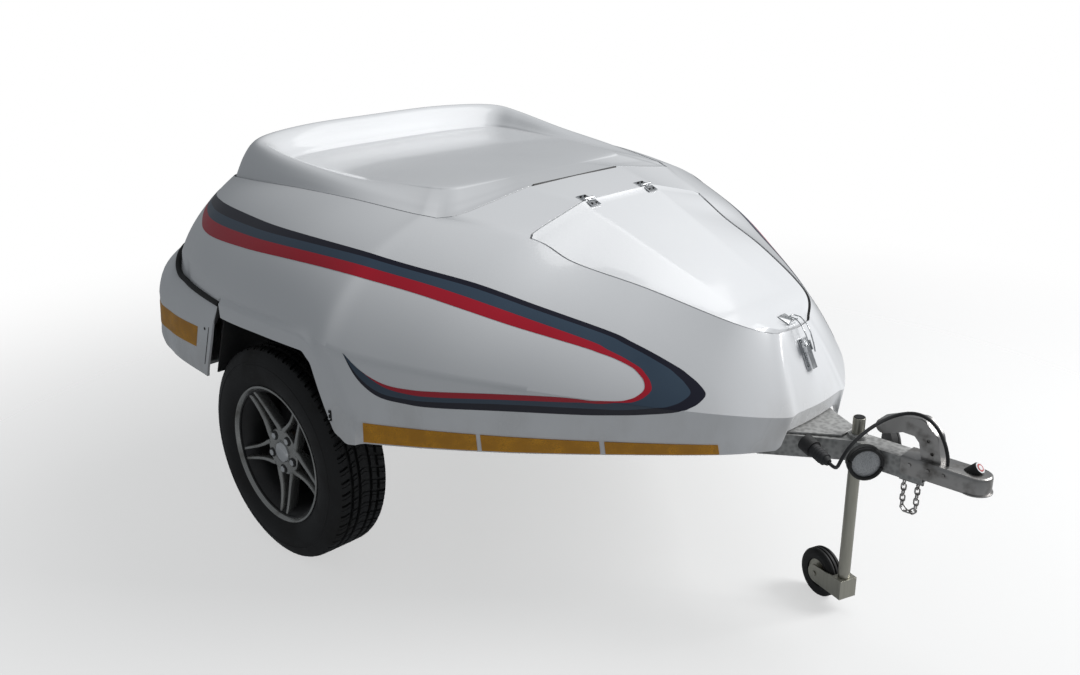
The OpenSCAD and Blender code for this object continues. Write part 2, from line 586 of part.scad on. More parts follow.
// Floor of the load space and the boxes over the wheels
floor_t = 8;
floor_gap = 0.8;
well_w = 208;
well_side = 113;
well_in = min(body_w / 2 - well_w, track / 2 - well_side);
well_ahead = 56;
well_behind = 5;
well_front = tyre_r + well_ahead;
well_rear = -tyre_r - well_behind;
well_half = body_w / 2;
module floor_pan() {
    floor_z = frame_top + seat_gap;
    function edge(u) =
        let (a = lower_at(u), b = belt_at(u))
        mix(a, b, (floor_z - a.z) / (b.z - a.z)) - out_at(u) * (skin_t + floor_gap);
    function rear_edge(u) = bumper_at(u, bumper_shares[0][0], skin_t + floor_gap, 0);
    half = concat(
        [for (k = [0:bumper_steps]) rear_edge(bumper_end * k / bumper_steps)],
        [for (u = [main_corner_row:1 / steps:side_rows - 2]) edge(u)]);
    outline = concat([for (p = half) [p.x, p.y]], [for (k = [len(half) - 1:-1:1]) [half[k].x, -half[k].y]]);
    color("gainsboro") translate([0, 0, floor_z]) difference() {
        linear_extrude(floor_t) polygon(outline);
        translate([gusset_rear - floor_gap, -body_w / 2, -over]) cube([body_l, body_w, floor_t + 2 * over]);
        for (side = [-1, 1]) translate([well_rear, side * (well_in + well_half / 2) - well_half / 2, -over])
            cube([well_front - well_rear, well_half, floor_t + 2 * over]);
    }
}
box_t = 5;
box_inset = 33;
box_out = body_w / 2 - box_inset;
box_top_share = 0.46;
box_gap = 12;
box_rise = 12;
box_top_z = max(skirt_z + box_top_share * body_h, 2 * tyre_r + box_gap + box_t);
box_low_z = skirt_z + box_rise;
// How far the foot and the top of a wheel box lie beyond the tyre, at the front and the rear
box_front_clear = [50, -34];
box_rear_clear = [-16, -94];
box_front = [for (c = box_front_clear) tyre_r + c];
box_rear = [for (c = box_rear_clear) -tyre_r - c];
module wheel_box() {
    outside = [
        [box_rear[0], box_low_z], [box_rear[1], box_top_z],
        [box_front[1], box_top_z], [box_front[0], box_low_z]];
    inside = [
        [box_rear[0] + box_t, box_low_z - over], [box_rear[1] + box_t, box_top_z - box_t],
        [box_front[1] - box_t, box_top_z - box_t], [box_front[0] - box_t, box_low_z - over]];
    color("dimgray") {
        translate([0, -well_in - box_t / 2, 0]) rotate([90, 0, 0])
            linear_extrude(box_out - well_in - box_t / 2) difference() {
                polygon(outside);
                polygon(inside);
            }
        translate([0, -well_in - seat_gap, 0]) rotate([90, 0, 0]) linear_extrude(box_t) polygon(outside);
    }
}

// Axle: a square torsion tube under the rails, trailing arms and stub axles
axle_w = 50;
axle_pad_t = 6;
axle_pad_l = 84;
axle_z = frame_low - seat_gap - axle_pad_t - axle_w / 2;
swing_l = 160;
axle_x = sqrt(pow(swing_l, 2) - pow(axle_z - tyre_r, 2));
swing_gap = 155;
swing_in = track / 2 - swing_gap;
swing_t = 22;
swing_r = axle_w / 2 - seat_gap;
boss_wall = 11;
stub_boss_r = stub_r + boss_wall;
web_share = 0.6;
web_start_share = 0.3;
web_in = 3;
hub_in = 60;
stub_end = 8;
module axle_tube() {
    bore_w = axle_w - 2 * tube_t;
    color("dimgray") {
        translate([axle_x, 0, axle_z]) rotate([90, 0, 0]) difference() {
            translate([-axle_w / 2, -axle_w / 2, seat_gap - swing_in])
                cube([axle_w, axle_w, 2 * (swing_in - seat_gap)]);
            translate([-bore_w / 2, -bore_w / 2, -swing_in]) cube([bore_w, bore_w, 2 * swing_in]);
        }
        for (side = [-1, 1])
            translate([axle_x - axle_pad_l / 2, side * rail_gap / 2 - tube_w / 2, axle_z + axle_w / 2])
                cube([axle_pad_l, tube_w, axle_pad_t]);
    }
}
module trailing_arms() {
    fall = atan2(axle_z - tyre_r, axle_x);
    bore_r = stub_r + pin_gap;
    web_from = bore_r + web_start_share * (stub_boss_r - bore_r);
    web_half = web_share * stub_boss_r;
    color("dimgray") both_sides() translate([0, -swing_in, tyre_r]) rotate([90, 0, 0]) {
        difference() {
            cylinder(r = stub_boss_r, h = swing_t);
            translate([0, 0, -over]) cylinder(r = bore_r, h = swing_t + 2 * over);
        }
        rotate(fall) translate([web_from, -web_half, web_in])
            cube([swing_l - web_from, 2 * web_half, swing_t - 2 * web_in]);
        translate([axle_x, axle_z - tyre_r, 0]) cylinder(r = swing_r, h = swing_t);
    }
}
module stub_axles() {
    collar_z = swing_t + seat_gap;
    collar_l = track / 2 - hub_in - swing_in - swing_t - 2 * seat_gap;
    color("gray") both_sides() translate([0, -swing_in, tyre_r]) rotate([90, 0, 0]) {
        cylinder(r = stub_r, h = track / 2 + stub_end - swing_in);
        translate([0, 0, collar_z]) cylinder(r = stub_r + sleeve_t, h = collar_l);
    }
}

// Wheels: built with the axis along Z and the outer face up
bead_drop = 14;
bead_r = rim_r - bead_drop;
// Half of the tyre's section: [share of its height, share of its width]
tyre_shares = [
    [0, 0.36], [0.08, 0.41], [0.3, 0.485], [0.5, 0.5], [0.7, 0.477], [0.86, 0.44], [0.95, 0.40], [1, 0.32]];
// Thickness of the tread as a multiple of the sidewall's
tread_share = 1.5;
tyre_t = 9;
barrel_t = 7;
lip_t = 4;
lip_z = 71;
spoke_z = 42;
spoke_t = 15;
spoke_count = 5;
spoke_in_r = 46;
spoke_in_w = 15;
spoke_out_w = 21;
spoke_in_angle = 9;
spoke_out_angle = 13;
pad_r = 66;
pad_z = 30;
spigot_r = 28;
spigot_h = 14;
nut_count = 5;
nut_ring_r = 47;
nut_r = 9;
nut_h = 12;
nut_pocket_r = 12.5;
nut_seat_z = 42;
cap_h = 13;
cap_shares = [[0, 0], [1, 0], [1, 0.5], [0.9, 0.8], [0.6, 0.97], [0, 1]];
hub_r = 32;
hub_flange_r = 60;
hub_flange_t = 10;
module wheel_place(side) {
    translate([0, side * track / 2, tyre_r]) rotate([side > 0 ? -90 : 90, 0, 0]) children();
}
module tyre() {
    function section(side, wall) = [for (s = tyre_shares)
        [mix(bead_r, tyre_r - tread_share * wall, s[0]), side * (s[1] * tyre_w - wall)]];
    function back(list) = [for (k = [len(list) - 1:-1:0]) list[k]];
    color("black") rotate_extrude($fn = 96) polygon(concat(
        section(1, 0), back(section(-1, 0)), section(-1, tyre_t), back(section(1, tyre_t))));
}
module rim() {
    barrel_r = bead_r - seat_gap;
    edge_z = lip_z + lip_t;
    spoke_top = spoke_z + spoke_t;
    half = [[barrel_r - barrel_t, edge_z], [rim_r, edge_z], [rim_r, lip_z], [barrel_r, lip_z]];
    color("silver") difference() {
        union() {
            rotate_extrude($fn = 96)
                polygon(concat(half, [for (k = [len(half) - 1:-1:0]) [half[k].x, -half[k].y]]));
            translate([0, 0, pad_z]) cylinder(r = pad_r, h = spoke_top - pad_z);
            translate([0, 0, spoke_z]) linear_extrude(spoke_t)
                for (k = [0:spoke_count - 1]) for (side = [-1, 1]) rotate(90 + k * 360 / spoke_count) {
                    a = side * spoke_in_angle;
                    b = side * spoke_out_angle;
                    r = barrel_r - barrel_t / 2;
                    polygon([
                        spoke_in_r * [cos(a), sin(a)] + spoke_in_w / 2 * [sin(a), -cos(a)],
                        r * [cos(b), sin(b)] + spoke_out_w / 2 * [sin(b), -cos(b)],
                        r * [cos(b), sin(b)] - spoke_out_w / 2 * [sin(b), -cos(b)],
                        spoke_in_r * [cos(a), sin(a)] - spoke_in_w / 2 * [sin(a), -cos(a)]]);
                }
        }
        translate([0, 0, pad_z - over]) cylinder(r = spigot_r + seat_gap, h = spoke_top - pad_z + 2 * over);
        for (k = [0:nut_count - 1]) rotate(90 + (k + 1 / 2) * 360 / nut_count)
            translate([nut_ring_r, 0, nut_seat_z]) cylinder(r = nut_pocket_r, h = spoke_top);
    }
}
module hub() {
    color("dimgray") difference() {
        union() {
            translate([0, 0, -hub_in]) cylinder(r = hub_r, h = hub_in + pad_z - seat_gap);
            translate([0, 0, pad_z - seat_gap - hub_flange_t]) cylinder(r = hub_flange_r, h = hub_flange_t);
            cylinder(r = spigot_r, h = pad_z + spigot_h);
        }
        translate([0, 0, -hub_in - over]) cylinder(r = stub_r + pin_gap, h = hub_in + stub_end + 2 * over);
    }
}
module cap_and_nuts() {
    cap_z = pad_z + spigot_h + seat_gap;
    cap_r = spigot_r - seat_gap;
    color("lightgray") {
        translate([0, 0, cap_z]) rotate_extrude() polygon(scaled(cap_shares, cap_r, cap_h));
        for (k = [0:nut_count - 1]) rotate(90 + (k + 1 / 2) * 360 / nut_count)
            translate([nut_ring_r, 0, nut_seat_z + seat_gap]) cylinder(r = nut_r, h = nut_h, $fn = 6);
    }
}

// Coupler: one pressing that sleeves over the drawbar's end and closes round the ball in front
shank_t = 4;
coupler_rise = 14;
coupler_low = frame_low + coupler_rise;
coupler_h = frame_top + seat_gap + shank_t - coupler_low;
head_r = drawbar_w / 2 + seat_gap + shank_t;
flange_w = 3;
flange_t = 3;
head_x = coupler_front - flange_w - head_r;
// Half of the pressing's section: [share of its half width, share of its height]
press_shares = [[1, 0], [1, 0.82], [0.97, 0.94], [0.86, 1], [0, 1]];
module coupler_body() {
    inner_w = drawbar_w + 2 * seat_gap;
    half = scaled(press_shares, head_r, coupler_h);
    color("gray") difference() {
        translate([head_x, 0, coupler_low]) {
            rotate_extrude() polygon(concat([[0, 0]], half));
            cylinder(r = head_r + flange_w, h = flange_t);
            rotate([90, 0, -90]) linear_extrude(head_x - coupler_rear)
                polygon(concat(half, [for (k = [len(half) - 2:-1:0]) [-half[k].x, half[k].y]]));
        }
        translate([coupler_rear - over, -inner_w / 2, coupler_low - over])
            cube([shank_l + seat_gap + over, inner_w, coupler_h - shank_t + over]);
        translate([head_x, 0, coupler_low - over]) cylinder(r = socket_r, h = socket_d + over);
    }
}
// Handle: a pressed channel, open below, that rises from its foot and runs back over the shank
handle_w = 34;
handle_t = 4;
handle_l = 155;
handle_h = 88;
handle_d = 44;
handle_back = 72;
handle_front = head_x - handle_back;
// Side view from the foot to the free end: [share of the length, share of the height, share of the depth]
handle_shares = [
    [0.858, 0, 1], [0.787, 0.516, 1], [0.645, 0.755, 0.955], [0.394, 0.743, 0.82], [0.11, 0.539, 0.77]];
handle_hole_shares = [[0.86, 0.19], [0.79, 0.5]];
handle_hole_r = 4;
module handle_side() {
    rows = [for (s = handle_shares) [s.x * handle_l, s.y * handle_h, s.z * handle_d / 2]];
    intersection() {
        for (k = [0:len(rows) - 2]) hull() for (row = [rows[k], rows[k + 1]])
            translate([row.x, row.y]) circle(r = row.z, $fn = 32);
        square([handle_l, handle_h + handle_d]);
    }
}
module coupler_handle() {
    inner_w = handle_w - 2 * handle_t;
    color("darkgray") translate([handle_front - handle_l, 0, coupler_low + coupler_h + seat_gap])
        rotate([90, 0, 0]) difference() {
            translate([0, 0, -handle_w / 2]) linear_extrude(handle_w) handle_side();
            translate([-handle_t, -handle_t, -inner_w / 2]) linear_extrude(inner_w) handle_side();
            for (s = handle_hole_shares) translate([s.x * handle_l, s.y * handle_h, -handle_w])
                cylinder(r = handle_hole_r, h = 2 * handle_w);
        }
}
// Button on top of the head, tilted forward
knob_l = 18;
knob_r = 14;
knob_tilt = 45;
knob_back = 9;
knob_shares = [[0, -1], [1, -1], [1, 0.86], [0.86, 1], [0, 1]];
module coupler_knob() {
    top = coupler_low + coupler_h + seat_gap;
    cut_w = 4 * knob_l;
    color("firebrick") difference() {
        translate([head_x - knob_back, 0, top]) rotate([0, 90 - knob_tilt, 0])
            rotate_extrude() polygon(scaled(knob_shares, knob_r, knob_l));
        translate([head_x - knob_back - cut_w / 2, -cut_w / 2, top - cut_w]) cube(cut_w);
    }
}
// Safety chain: links along a hanging loop, from one hole of the lug to the other
link_wire = 3.5;
link_in_l = 14;
link_in_w = 7;
link_play = 0.8;
link_pitch = link_in_l - link_play;
chain_leg = 5;
chain_bend = 3;
chain_count = 2 * chain_leg + chain_bend;
chain_hang = 5;
function link_angle(k) =
    k < chain_leg ? -90 : k >= chain_leg + chain_bend ? 90
    : -90 + 180 * (k - chain_leg + 1) / (chain_bend + 1);
chain_ends = [for (k = 0, p = [0, 0]; k <= chain_count;
    p = p + link_pitch * [cos(link_angle(k)), sin(link_angle(k))], k = k + 1) p];
chain_w = chain_ends[chain_count].x;
module chain_link() {
    bow = (link_in_w + link_wire) / 2;
    run = (link_in_l - link_in_w) / 2;
    for (end = [-1, 1]) {
        translate([end * run, 0, 0]) rotate(end > 0 ? -90 : 90)
            rotate_extrude(angle = 180, $fn = 32) translate([bow, 0]) circle(d = link_wire, $fn = 20);
        translate([-run, end * bow, 0]) rotate([0, 90, 0]) cylinder(d = link_wire, h = 2 * run, $fn = 20);
    }
}
module safety_chain() {
    color("gray") translate([lug_x - chain_w / 2, 0, frame_low - lug_h / 2 - chain_hang])
        for (k = [0:chain_count - 1]) {
            p = (chain_ends[k] + chain_ends[k + 1]) / 2;
            translate([p.x, 0, p.y]) rotate([90, 0, 0]) rotate(link_angle(k))
                rotate([(k + 1) % 2 * 90, 0, 0]) chain_link();
        }
}

// Jockey wheel: a tube in a sleeve through the drawbar, a folded fork and a wheel, turned to one side
fork_turn = 20;
fork_rise = 24;
fork_fall = 22;
fork_t = 3;
fork_gap = 3;
fork_clear = 6;
stem_r = 8;
stem_h = 70;
fork_top = jockey_wheel_r + fork_rise;
fork_low = jockey_wheel_r - fork_fall;
fork_trail = sqrt(pow(jockey_wheel_r, 2) - pow(fork_rise, 2)) + jockey_r + fork_clear;
fork_half = jockey_wheel_w / 2 + fork_gap;
fork_lap = 4;
fork_nose = jockey_r + fork_lap;
jockey_pin_r = 6;
fork_end_steps = 12;
jockey_groove = 3;
module fork_place() {
    translate([jockey_x, 0, 0]) rotate(-fork_turn) children();
}
module jockey_wheel_place() {
    fork_place() translate([-fork_trail, 0, jockey_wheel_r]) rotate([90, 0, 0]) children();
}
module jockey_sleeve() {
    low = frame_low - sleeve_below;
    sleeve_l = frame_top + sleeve_above - low;
    color("silver") translate([jockey_x, 0, 0]) difference() {
        union() {
            translate([0, 0, low]) cylinder(r = sleeve_r, h = sleeve_l);
            translate([0, 0, low]) cylinder(r = sleeve_r + sleeve_t, h = sleeve_collar_h);
            translate([0, 0, frame_top + seat_gap]) cylinder(r = sleeve_r + sleeve_t, h = sleeve_collar_h);
        }
        translate([0, 0, low - over]) cylinder(r = jockey_r + pin_gap, h = sleeve_l + 2 * over);
    }
}
module jockey_tube() {
    low = fork_top + fork_t + seat_gap;
    color("lightgray") translate([jockey_x, 0, 0]) difference() {
        translate([0, 0, low]) cylinder(r = jockey_r, h = jockey_top - low);
        translate([0, 0, low - over]) cylinder(r = stem_r + pin_gap, h = stem_h + 2 * over);
    }
}
module jockey_fork() {
    plate_h = fork_top - fork_low;
    side_shape = concat(
        [[fork_nose, fork_low], [fork_nose, fork_top + fork_t], [-jockey_r, fork_top + fork_t],
         [-jockey_r - fork_rise, fork_top]],
        [for (k = [0:fork_end_steps]) let (a = 180 * k / fork_end_steps)
            [-fork_trail - fork_fall * sin(a), jockey_wheel_r + fork_fall * cos(a)]]);
    color("lightgray") fork_place() difference() {
        union() {
            for (side = [-1, 1]) translate([0, side * (fork_half + fork_t / 2) + fork_t / 2, 0])
                rotate([90, 0, 0]) linear_extrude(fork_t) polygon(side_shape);
            translate([fork_nose - fork_t, -fork_half - over, fork_low])
                cube([fork_t, 2 * (fork_half + over), plate_h + fork_t]);
            translate([-jockey_r, -fork_half - over, fork_top])
                cube([jockey_r + fork_nose, 2 * (fork_half + over), fork_t]);
            translate([0, 0, fork_top]) cylinder(r = stem_r, h = fork_t + stem_h);
        }
        translate([-fork_trail, fork_half + 2 * fork_t, jockey_wheel_r]) rotate([90, 0, 0])
            cylinder(r = jockey_pin_r + pin_gap, h = 2 * fork_half + 4 * fork_t);
    }
}
jockey_hub_r = 34;
// Half of the jockey tyre's section outside its hub: [share of its radius, share of its half width]
jockey_tyre_shares = [[0.8, 1], [0.95, 0.86], [1, 0.6], [1, 0.38]];
jockey_groove_shares = [0.34, 0.2];
jockey_rib_share = 0.16;
jockey_bead_share = 0.9;
jockey_web_shares = [0.7, 0.6];
module jockey_tyre() {
    w = jockey_wheel_w / 2;
    r = jockey_wheel_r;
    half = concat(
        [[jockey_hub_r, w * jockey_bead_share]], scaled(jockey_tyre_shares, r, w),
        [for (s = jockey_groove_shares) [r - jockey_groove, w * s]], [[r, w * jockey_rib_share]]);
    color("black") jockey_wheel_place() rotate_extrude($fn = 64) polygon(concat(
        half, [for (k = [len(half) - 1:-1:0]) [half[k].x, -half[k].y]]));
}
module jockey_hub() {
    w = jockey_wheel_w / 2;
    pin_l = 2 * (fork_half + fork_t + fork_gap);
    boss_r = 2 * jockey_pin_r;
    boss_w = w + fork_gap / 2;
    web_r = jockey_hub_r - seat_gap;
    half = [
        [0, boss_w], [boss_r, boss_w], [boss_r, w * jockey_web_shares[1]], [web_r, w * jockey_web_shares[0]]];
    color("dimgray") jockey_wheel_place() {
        translate([0, 0, -pin_l / 2]) cylinder(r = jockey_pin_r, h = pin_l);
        rotate_extrude() polygon(concat(half, [for (k = [len(half) - 1:-1:0]) [half[k].x, -half[k].y]]));
    }
}

// Round front reflectors on stems at both sides of the drawbar
reflector_r = 40;
reflector_rim = 5;
reflector_t = 14;
reflector_ahead = 56;
reflector_x = jockey_x + reflector_ahead;
reflector_out = 62;
reflector_turn = 45;
stem_reflector_r = 8;
module reflector_place() {
    both_sides() translate([reflector_x, -reflector_out, frame_top - tube_h / 2])
        rotate(-reflector_turn) rotate([0, 90, 0]) children();
}
module front_reflectors() {
    lens_r = reflector_r - reflector_rim - seat_gap;
    color("whitesmoke") reflector_place() rotate_extrude() polygon([
        [0, -reflector_t / 3], [lens_r, -reflector_t / 3], [lens_r, 0],
        [lens_r / 2, reflector_t / 6], [0, reflector_t / 5]]);
}
module reflector_rims() {
    stem_l = 2 * reflector_out;
    color("black") difference() {
        reflector_place() {
            difference() {
                translate([0, 0, -reflector_t]) cylinder(r = reflector_r, h = reflector_t);
                translate([0, 0, -reflector_t / 3 - seat_gap])
                    cylinder(r = reflector_r - reflector_rim, h = reflector_t);
            }
            translate([0, 0, -stem_l]) cylinder(r = stem_reflector_r, h = stem_l - reflector_t / 2);
        }
        translate([drawbar_rear, -drawbar_w / 2 - seat_gap, 0])
            cube([drawbar_front, drawbar_w + 2 * seat_gap, 2 * frame_top]);
    }
}

// Parked plug in its holder on the right arm, and the lead to the coupler
holder_back = 78;
holder_x = jockey_x - holder_back;
holder_share = 0.8;
holder_r = 20;
holder_l = 30;
holder_foot_r = 11;
holder_foot_l = 26;
holder_t = 4;
plug_r = 14.5;
plug_l = 66;
plug_in = 22;
plug_turn = -18;
plug_dip = 13;
rib_count = 5;
rib_pitch = 7;
rib_r = 15.6;
rib_w = 3.5;
tail_r = 8;
tail_l = 12;
tail_share = 0.8;
holder_face = [holder_x, -arm_y(holder_x) - arm_half, frame_low + holder_share * tube_h];
holder_mid = holder_face + holder_foot_l * [sin(arm_angle), -cos(arm_angle), 0];
plug_base = holder_t - holder_l / 2 + seat_gap;
plug_dir = [cos(plug_dip) * cos(plug_turn), cos(plug_dip) * sin(plug_turn), -sin(plug_dip)];
module holder_place() {
    translate(holder_mid) rotate(plug_turn) rotate([0, 90 + plug_dip, 0]) children();
}
module plug_holder() {
    color("black") difference() {
        union() {
            translate(holder_face) rotate(arm_angle) rotate([90, 0, 0]) translate([0, 0, seat_gap])
                cylinder(r = holder_foot_r, h = holder_foot_l - seat_gap);
            holder_place() translate([0, 0, -holder_l / 2]) cylinder(r = holder_r, h = holder_l);
        }
        holder_place() translate([0, 0, holder_t - holder_l / 2])
            cylinder(r = holder_r - holder_t, h = holder_l);
    }
}
module plug() {
    color("dimgray") holder_place() {
        translate([0, 0, plug_base]) cylinder(r = plug_r, h = plug_l);
        for (k = [0:rib_count - 1]) translate([0, 0, plug_base + plug_in + rib_w + k * rib_pitch])
            cylinder(r = rib_r, h = rib_w);
        translate([0, 0, plug_base + plug_l - over])
            cylinder(r1 = plug_r * tail_share, r2 = tail_r, h = tail_l);
    }
}
// The lead's route: a smooth curve through knots, each with its place and its pull along the lead
cable_r = 4;
cable_sides = 8;
cable_ahead = 12;
cable_side = 10;
cable_out = 36;
cable_down = 28;
cable_rise = [50, -15, 55];
cable_rise_pull = [11, 29, 35];
cable_top = [-77, 0, 95];
cable_top_pull = [54, -2, 3];
cable_steps = 6;
plug_tail = holder_mid + plug_dir * (plug_base + plug_l - over + tail_l);
cable_entry = [handle_front + cable_ahead, -cable_side, coupler_low + coupler_h];
cable_knots = [
    [plug_tail + plug_dir * seat_gap, plug_dir * cable_out],
    [plug_tail + cable_rise, cable_rise_pull],
    [cable_entry + cable_top, cable_top_pull],
    [cable_entry + [0, 0, seat_gap], [0, 0, -cable_down]]];
function cable_at(k, t) =
    let (a = cable_knots[k], b = cable_knots[k + 1])
    pow(1 - t, 3) * a[0] + 3 * pow(1 - t, 2) * t * (a[0] + a[1])
    + 3 * (1 - t) * pow(t, 2) * (b[0] - b[1]) + pow(t, 3) * b[0];
cable_route = [for (k = [0:len(cable_knots) - 2])
    for (s = [(k == 0 ? 0 : 1):cable_steps]) cable_at(k, s / cable_steps)];
function cable_dir(k) =
    let (n = len(cable_route) - 1, d = cable_route[min(k + 1, n)] - cable_route[max(k - 1, 0)]) d / norm(d);
function cable_ring(k) =
    let (d = k == 0 ? plug_dir : k == len(cable_route) - 1 ? [0, 0, -1] : cable_dir(k),
         s = cross(d, [0, 1, 0]), a = s / norm(s), b = cross(d, a), turn = 360 / cable_sides)
    [for (j = [0:cable_sides - 1]) cable_route[k] + cable_r * (cos(j * turn) * a + sin(j * turn) * b)];
module cable() {
    n = len(cable_route);
    rings = [for (k = [0:n - 1]) cable_ring(k)];
    color("black") ring_shell(rings, cable_route[0], cable_route[n - 1]);
}

// Latch on the nose: a lever on its base plate below the seam, a keeper with bail on the lid
nose_wall = wall_at(side_rows, levels - 2);
nose_fall = atan2(nose_tip.z - nose_wall.z, nose_wall.x - nose_tip.x);
lid_fall = atan2(nose_crease.z - nose_tip.z, nose_tip.x - nose_crease.x);
latch_w = 30;
latch_t = 2;
latch_from = 26;
latch_l = 70;
latch_gap = 0.8;
lever_w = 18;
lever_t = 5;
lever_l = 74;
lever_rise = 9;
latch_pin_r = 3;
module latch_base() {
    color("lightgray") translate(nose_tip) rotate([0, nose_fall, 0]) {
        translate([latch_from, -latch_w / 2, latch_gap]) cube([latch_l, latch_w, latch_t]);
        for (side = [-1, 1])
            translate([latch_from + latch_l / 8, side * (lever_w / 2 + latch_t) - latch_t / 2, latch_gap])
                cube([latch_l / 3, latch_t, lever_rise + lever_t]);
        translate([latch_from + latch_l / 4, latch_w / 2, latch_gap + lever_rise]) rotate([90, 0, 0])
            cylinder(r = latch_pin_r, h = latch_w);
        translate([latch_from, -lever_w / 2, latch_gap + lever_rise - latch_pin_r])
            cube([lever_l, lever_w, lever_t]);
    }
}
keeper_l = 34;
keeper_back = 8;
keeper_hook = 12;
module latch_keeper() {
    lid_tip = nose_tip + lid_gap * [-1, 0, tan(lid_fall)];
    color("lightgray") translate(lid_tip) rotate([0, lid_fall, 0]) {
        translate([-keeper_l - keeper_back, -latch_w / 2, latch_gap]) cube([keeper_l, latch_w, latch_t]);
        translate([-keeper_back - latch_t, -latch_w / 2, latch_gap]) cube([latch_t, latch_w, keeper_hook]);
    }
}

// Nose lid hinges: two pairs of leaves with a knuckle and a pin across the seam
hinge_half = 16;
hinge_y = 112;
hinge_r = 4;
hinge_pin_r = 2;
hinge_leaf_l = 26;
hinge_leaf_t = 1.5;
hinge_rise = 3.5;
bridge_run = bridge_at(bridge_mid, 1) - bridge_at(bridge_mid, 0);
bridge_fall = atan2(-bridge_run.z, bridge_run.x);
function hinge_seat(t) =
    let (a = bridge_at(bridge_mid, t), b = bridge_at(bridge_mid - 1, t))
    mix(a, b, -hinge_y / b.y) + [0, hinge_y, 0];
module knuckle(axis, y, half, r) {
    translate([axis.x, y + half, axis.z]) rotate([90, 0, 0]) cylinder(r = r, h = 2 * half, $fn = 24);
}
nose_axis = [hinge_seat(1).x + lid_gap / 2, 0, hinge_seat(1).z + hinge_rise];
module nose_hinge_fixed() {
    third = hinge_half / 3;
    edge = hinge_seat(1);
    color("lightgray") for (side = [-1, 1]) {
        y = side * hinge_y;
        for (end = [-1, 1]) knuckle(nose_axis, y + end * 2 * third, third - pin_gap, hinge_r);
        knuckle(nose_axis, y, hinge_half, hinge_pin_r);
        difference() {
            translate([edge.x, y, edge.z]) rotate([0, bridge_fall, 0])
                translate([-hinge_leaf_l, -hinge_half, strip_gap])
                    cube([hinge_leaf_l, 2 * hinge_half, hinge_leaf_t]);
            knuckle(nose_axis, y, third, hinge_r + lid_gap / 4);
        }
    }
}
module nose_hinge_leaf() {
    third = hinge_half / 3;
    edge = hinge_seat(1) + [lid_gap, 0, 0];
    color("lightgray") for (side = [-1, 1]) {
        y = side * hinge_y;
        difference() {
            union() {
                knuckle(nose_axis, y, third - pin_gap, hinge_r);
                translate([edge.x, y, edge.z]) rotate([0, lid_fall, 0]) {
                    translate([-lid_gap / 2, -third + pin_gap, strip_gap])
                        cube([hinge_leaf_l / 2, 2 * (third - pin_gap), hinge_leaf_t]);
                    translate([hinge_r, -hinge_half, strip_gap])
                        cube([hinge_leaf_l - hinge_r, 2 * hinge_half, hinge_leaf_t]);
                }
            }
            knuckle(nose_axis, y, hinge_half, hinge_pin_r + pin_gap);
        }
    }
}
// Main lid hinge: one continuous hinge, its knuckles lying in the front seam
piano_half = 160;
piano_count = 11;
piano_r = lid_gap / 2 - seat_gap;
piano_pin_r = 1.1;
piano_leaf_t = 1.4;
piano_drop = 1;
piano_leaf_h = flange_d - piano_drop;
main_axis = [bridge_at(bridge_mid, 0).x - lid_gap / 2, 0, bridge_at(bridge_mid, 0).z - piano_drop];
piano_pitch = 2 * piano_half / piano_count;
module piano_knuckles(first, side) {
    leaf_x = main_axis.x + (side > 0 ? piano_r - piano_leaf_t : -piano_r);
    leaf_z = main_axis.z - piano_leaf_h;
    for (k = [first:2:piano_count - 1]) {
        y = -piano_half + (k + 1 / 2) * piano_pitch;
        knuckle(main_axis, y, piano_pitch / 2 - pin_gap, piano_r);
        translate([leaf_x, y - piano_pitch / 2 + pin_gap, leaf_z])
            cube([piano_leaf_t, piano_pitch - 2 * pin_gap, piano_leaf_h]);
    }
    translate([leaf_x, -piano_half, leaf_z])
        cube([piano_leaf_t, 2 * piano_half, piano_leaf_h - piano_r - pin_gap]);
}
module main_hinge_fixed() {
    color("dimgray") {
        piano_knuckles(0, 1);
        knuckle(main_axis, 0, piano_half, piano_pin_r);
    }
}
module main_hinge_leaf() {
    color("dimgray") difference() {
        piano_knuckles(1, -1);
        knuckle(main_axis, 0, piano_half + over, piano_pin_r + pin_gap);
    }
}

// The origin lies under the middle of the trailer's length
rear_end = min([for (row = bumper_round(bumper_shares, 0)) for (p = row) p.x]);
mid_x = (coupler_front + rear_end) / 2;
module seat() {
    translate([-mid_x, 0, 0]) children();
}

seat() body_shell();
seat() main_seal();
seat() nose_seal();
seat() floor_pan();
seat() mirror([0, 1, 0]) wheel_box();  // wheel_box_left
seat() wheel_box();  // wheel_box_right
seat() rear_bumper();
seat() bumper_seal();
seat() tail_lamps();
seat() side_reflectors();
seat() bumper_reflectors();
seat() rail(1);  // rail_left
seat() rail(-1);  // rail_right
seat() arm(1);  // arm_left
seat() arm(-1);  // arm_right
seat() cross_members();
seat() drawbar();
seat() drawbar_gusset();
seat() coupler_body();
seat() coupler_handle();
seat() coupler_knob();
seat() safety_chain();
seat() jockey_sleeve();
seat() front_reflectors();
seat() reflector_rims();
seat() plug_holder();
seat() plug();
seat() cable();
seat() axle_tube();
seat() trailing_arms();
seat() stub_axles();
seat() latch_base();
seat() latch_keeper();
seat() nose_hinge_fixed();
seat() nose_hinge_leaf();
seat() main_hinge_fixed();
seat() main_hinge_leaf();
seat() main_lid();
seat() nose_lid();
seat() wheel_place(1) tyre();  // left_tyre
seat() wheel_place(1) rim();  // left_rim
seat() wheel_place(1) hub();  // left_hub
seat() wheel_place(1) cap_and_nuts();  // left_cap_nuts
seat() wheel_place(-1) tyre();  // right_tyre
seat() wheel_place(-1) rim();  // right_rim
seat() wheel_place(-1) hub();  // right_hub
seat() wheel_place(-1) cap_and_nuts();  // right_cap_nuts
seat() jockey_tube();
seat() jockey_fork();
seat() jockey_tyre();
seat() jockey_hub();
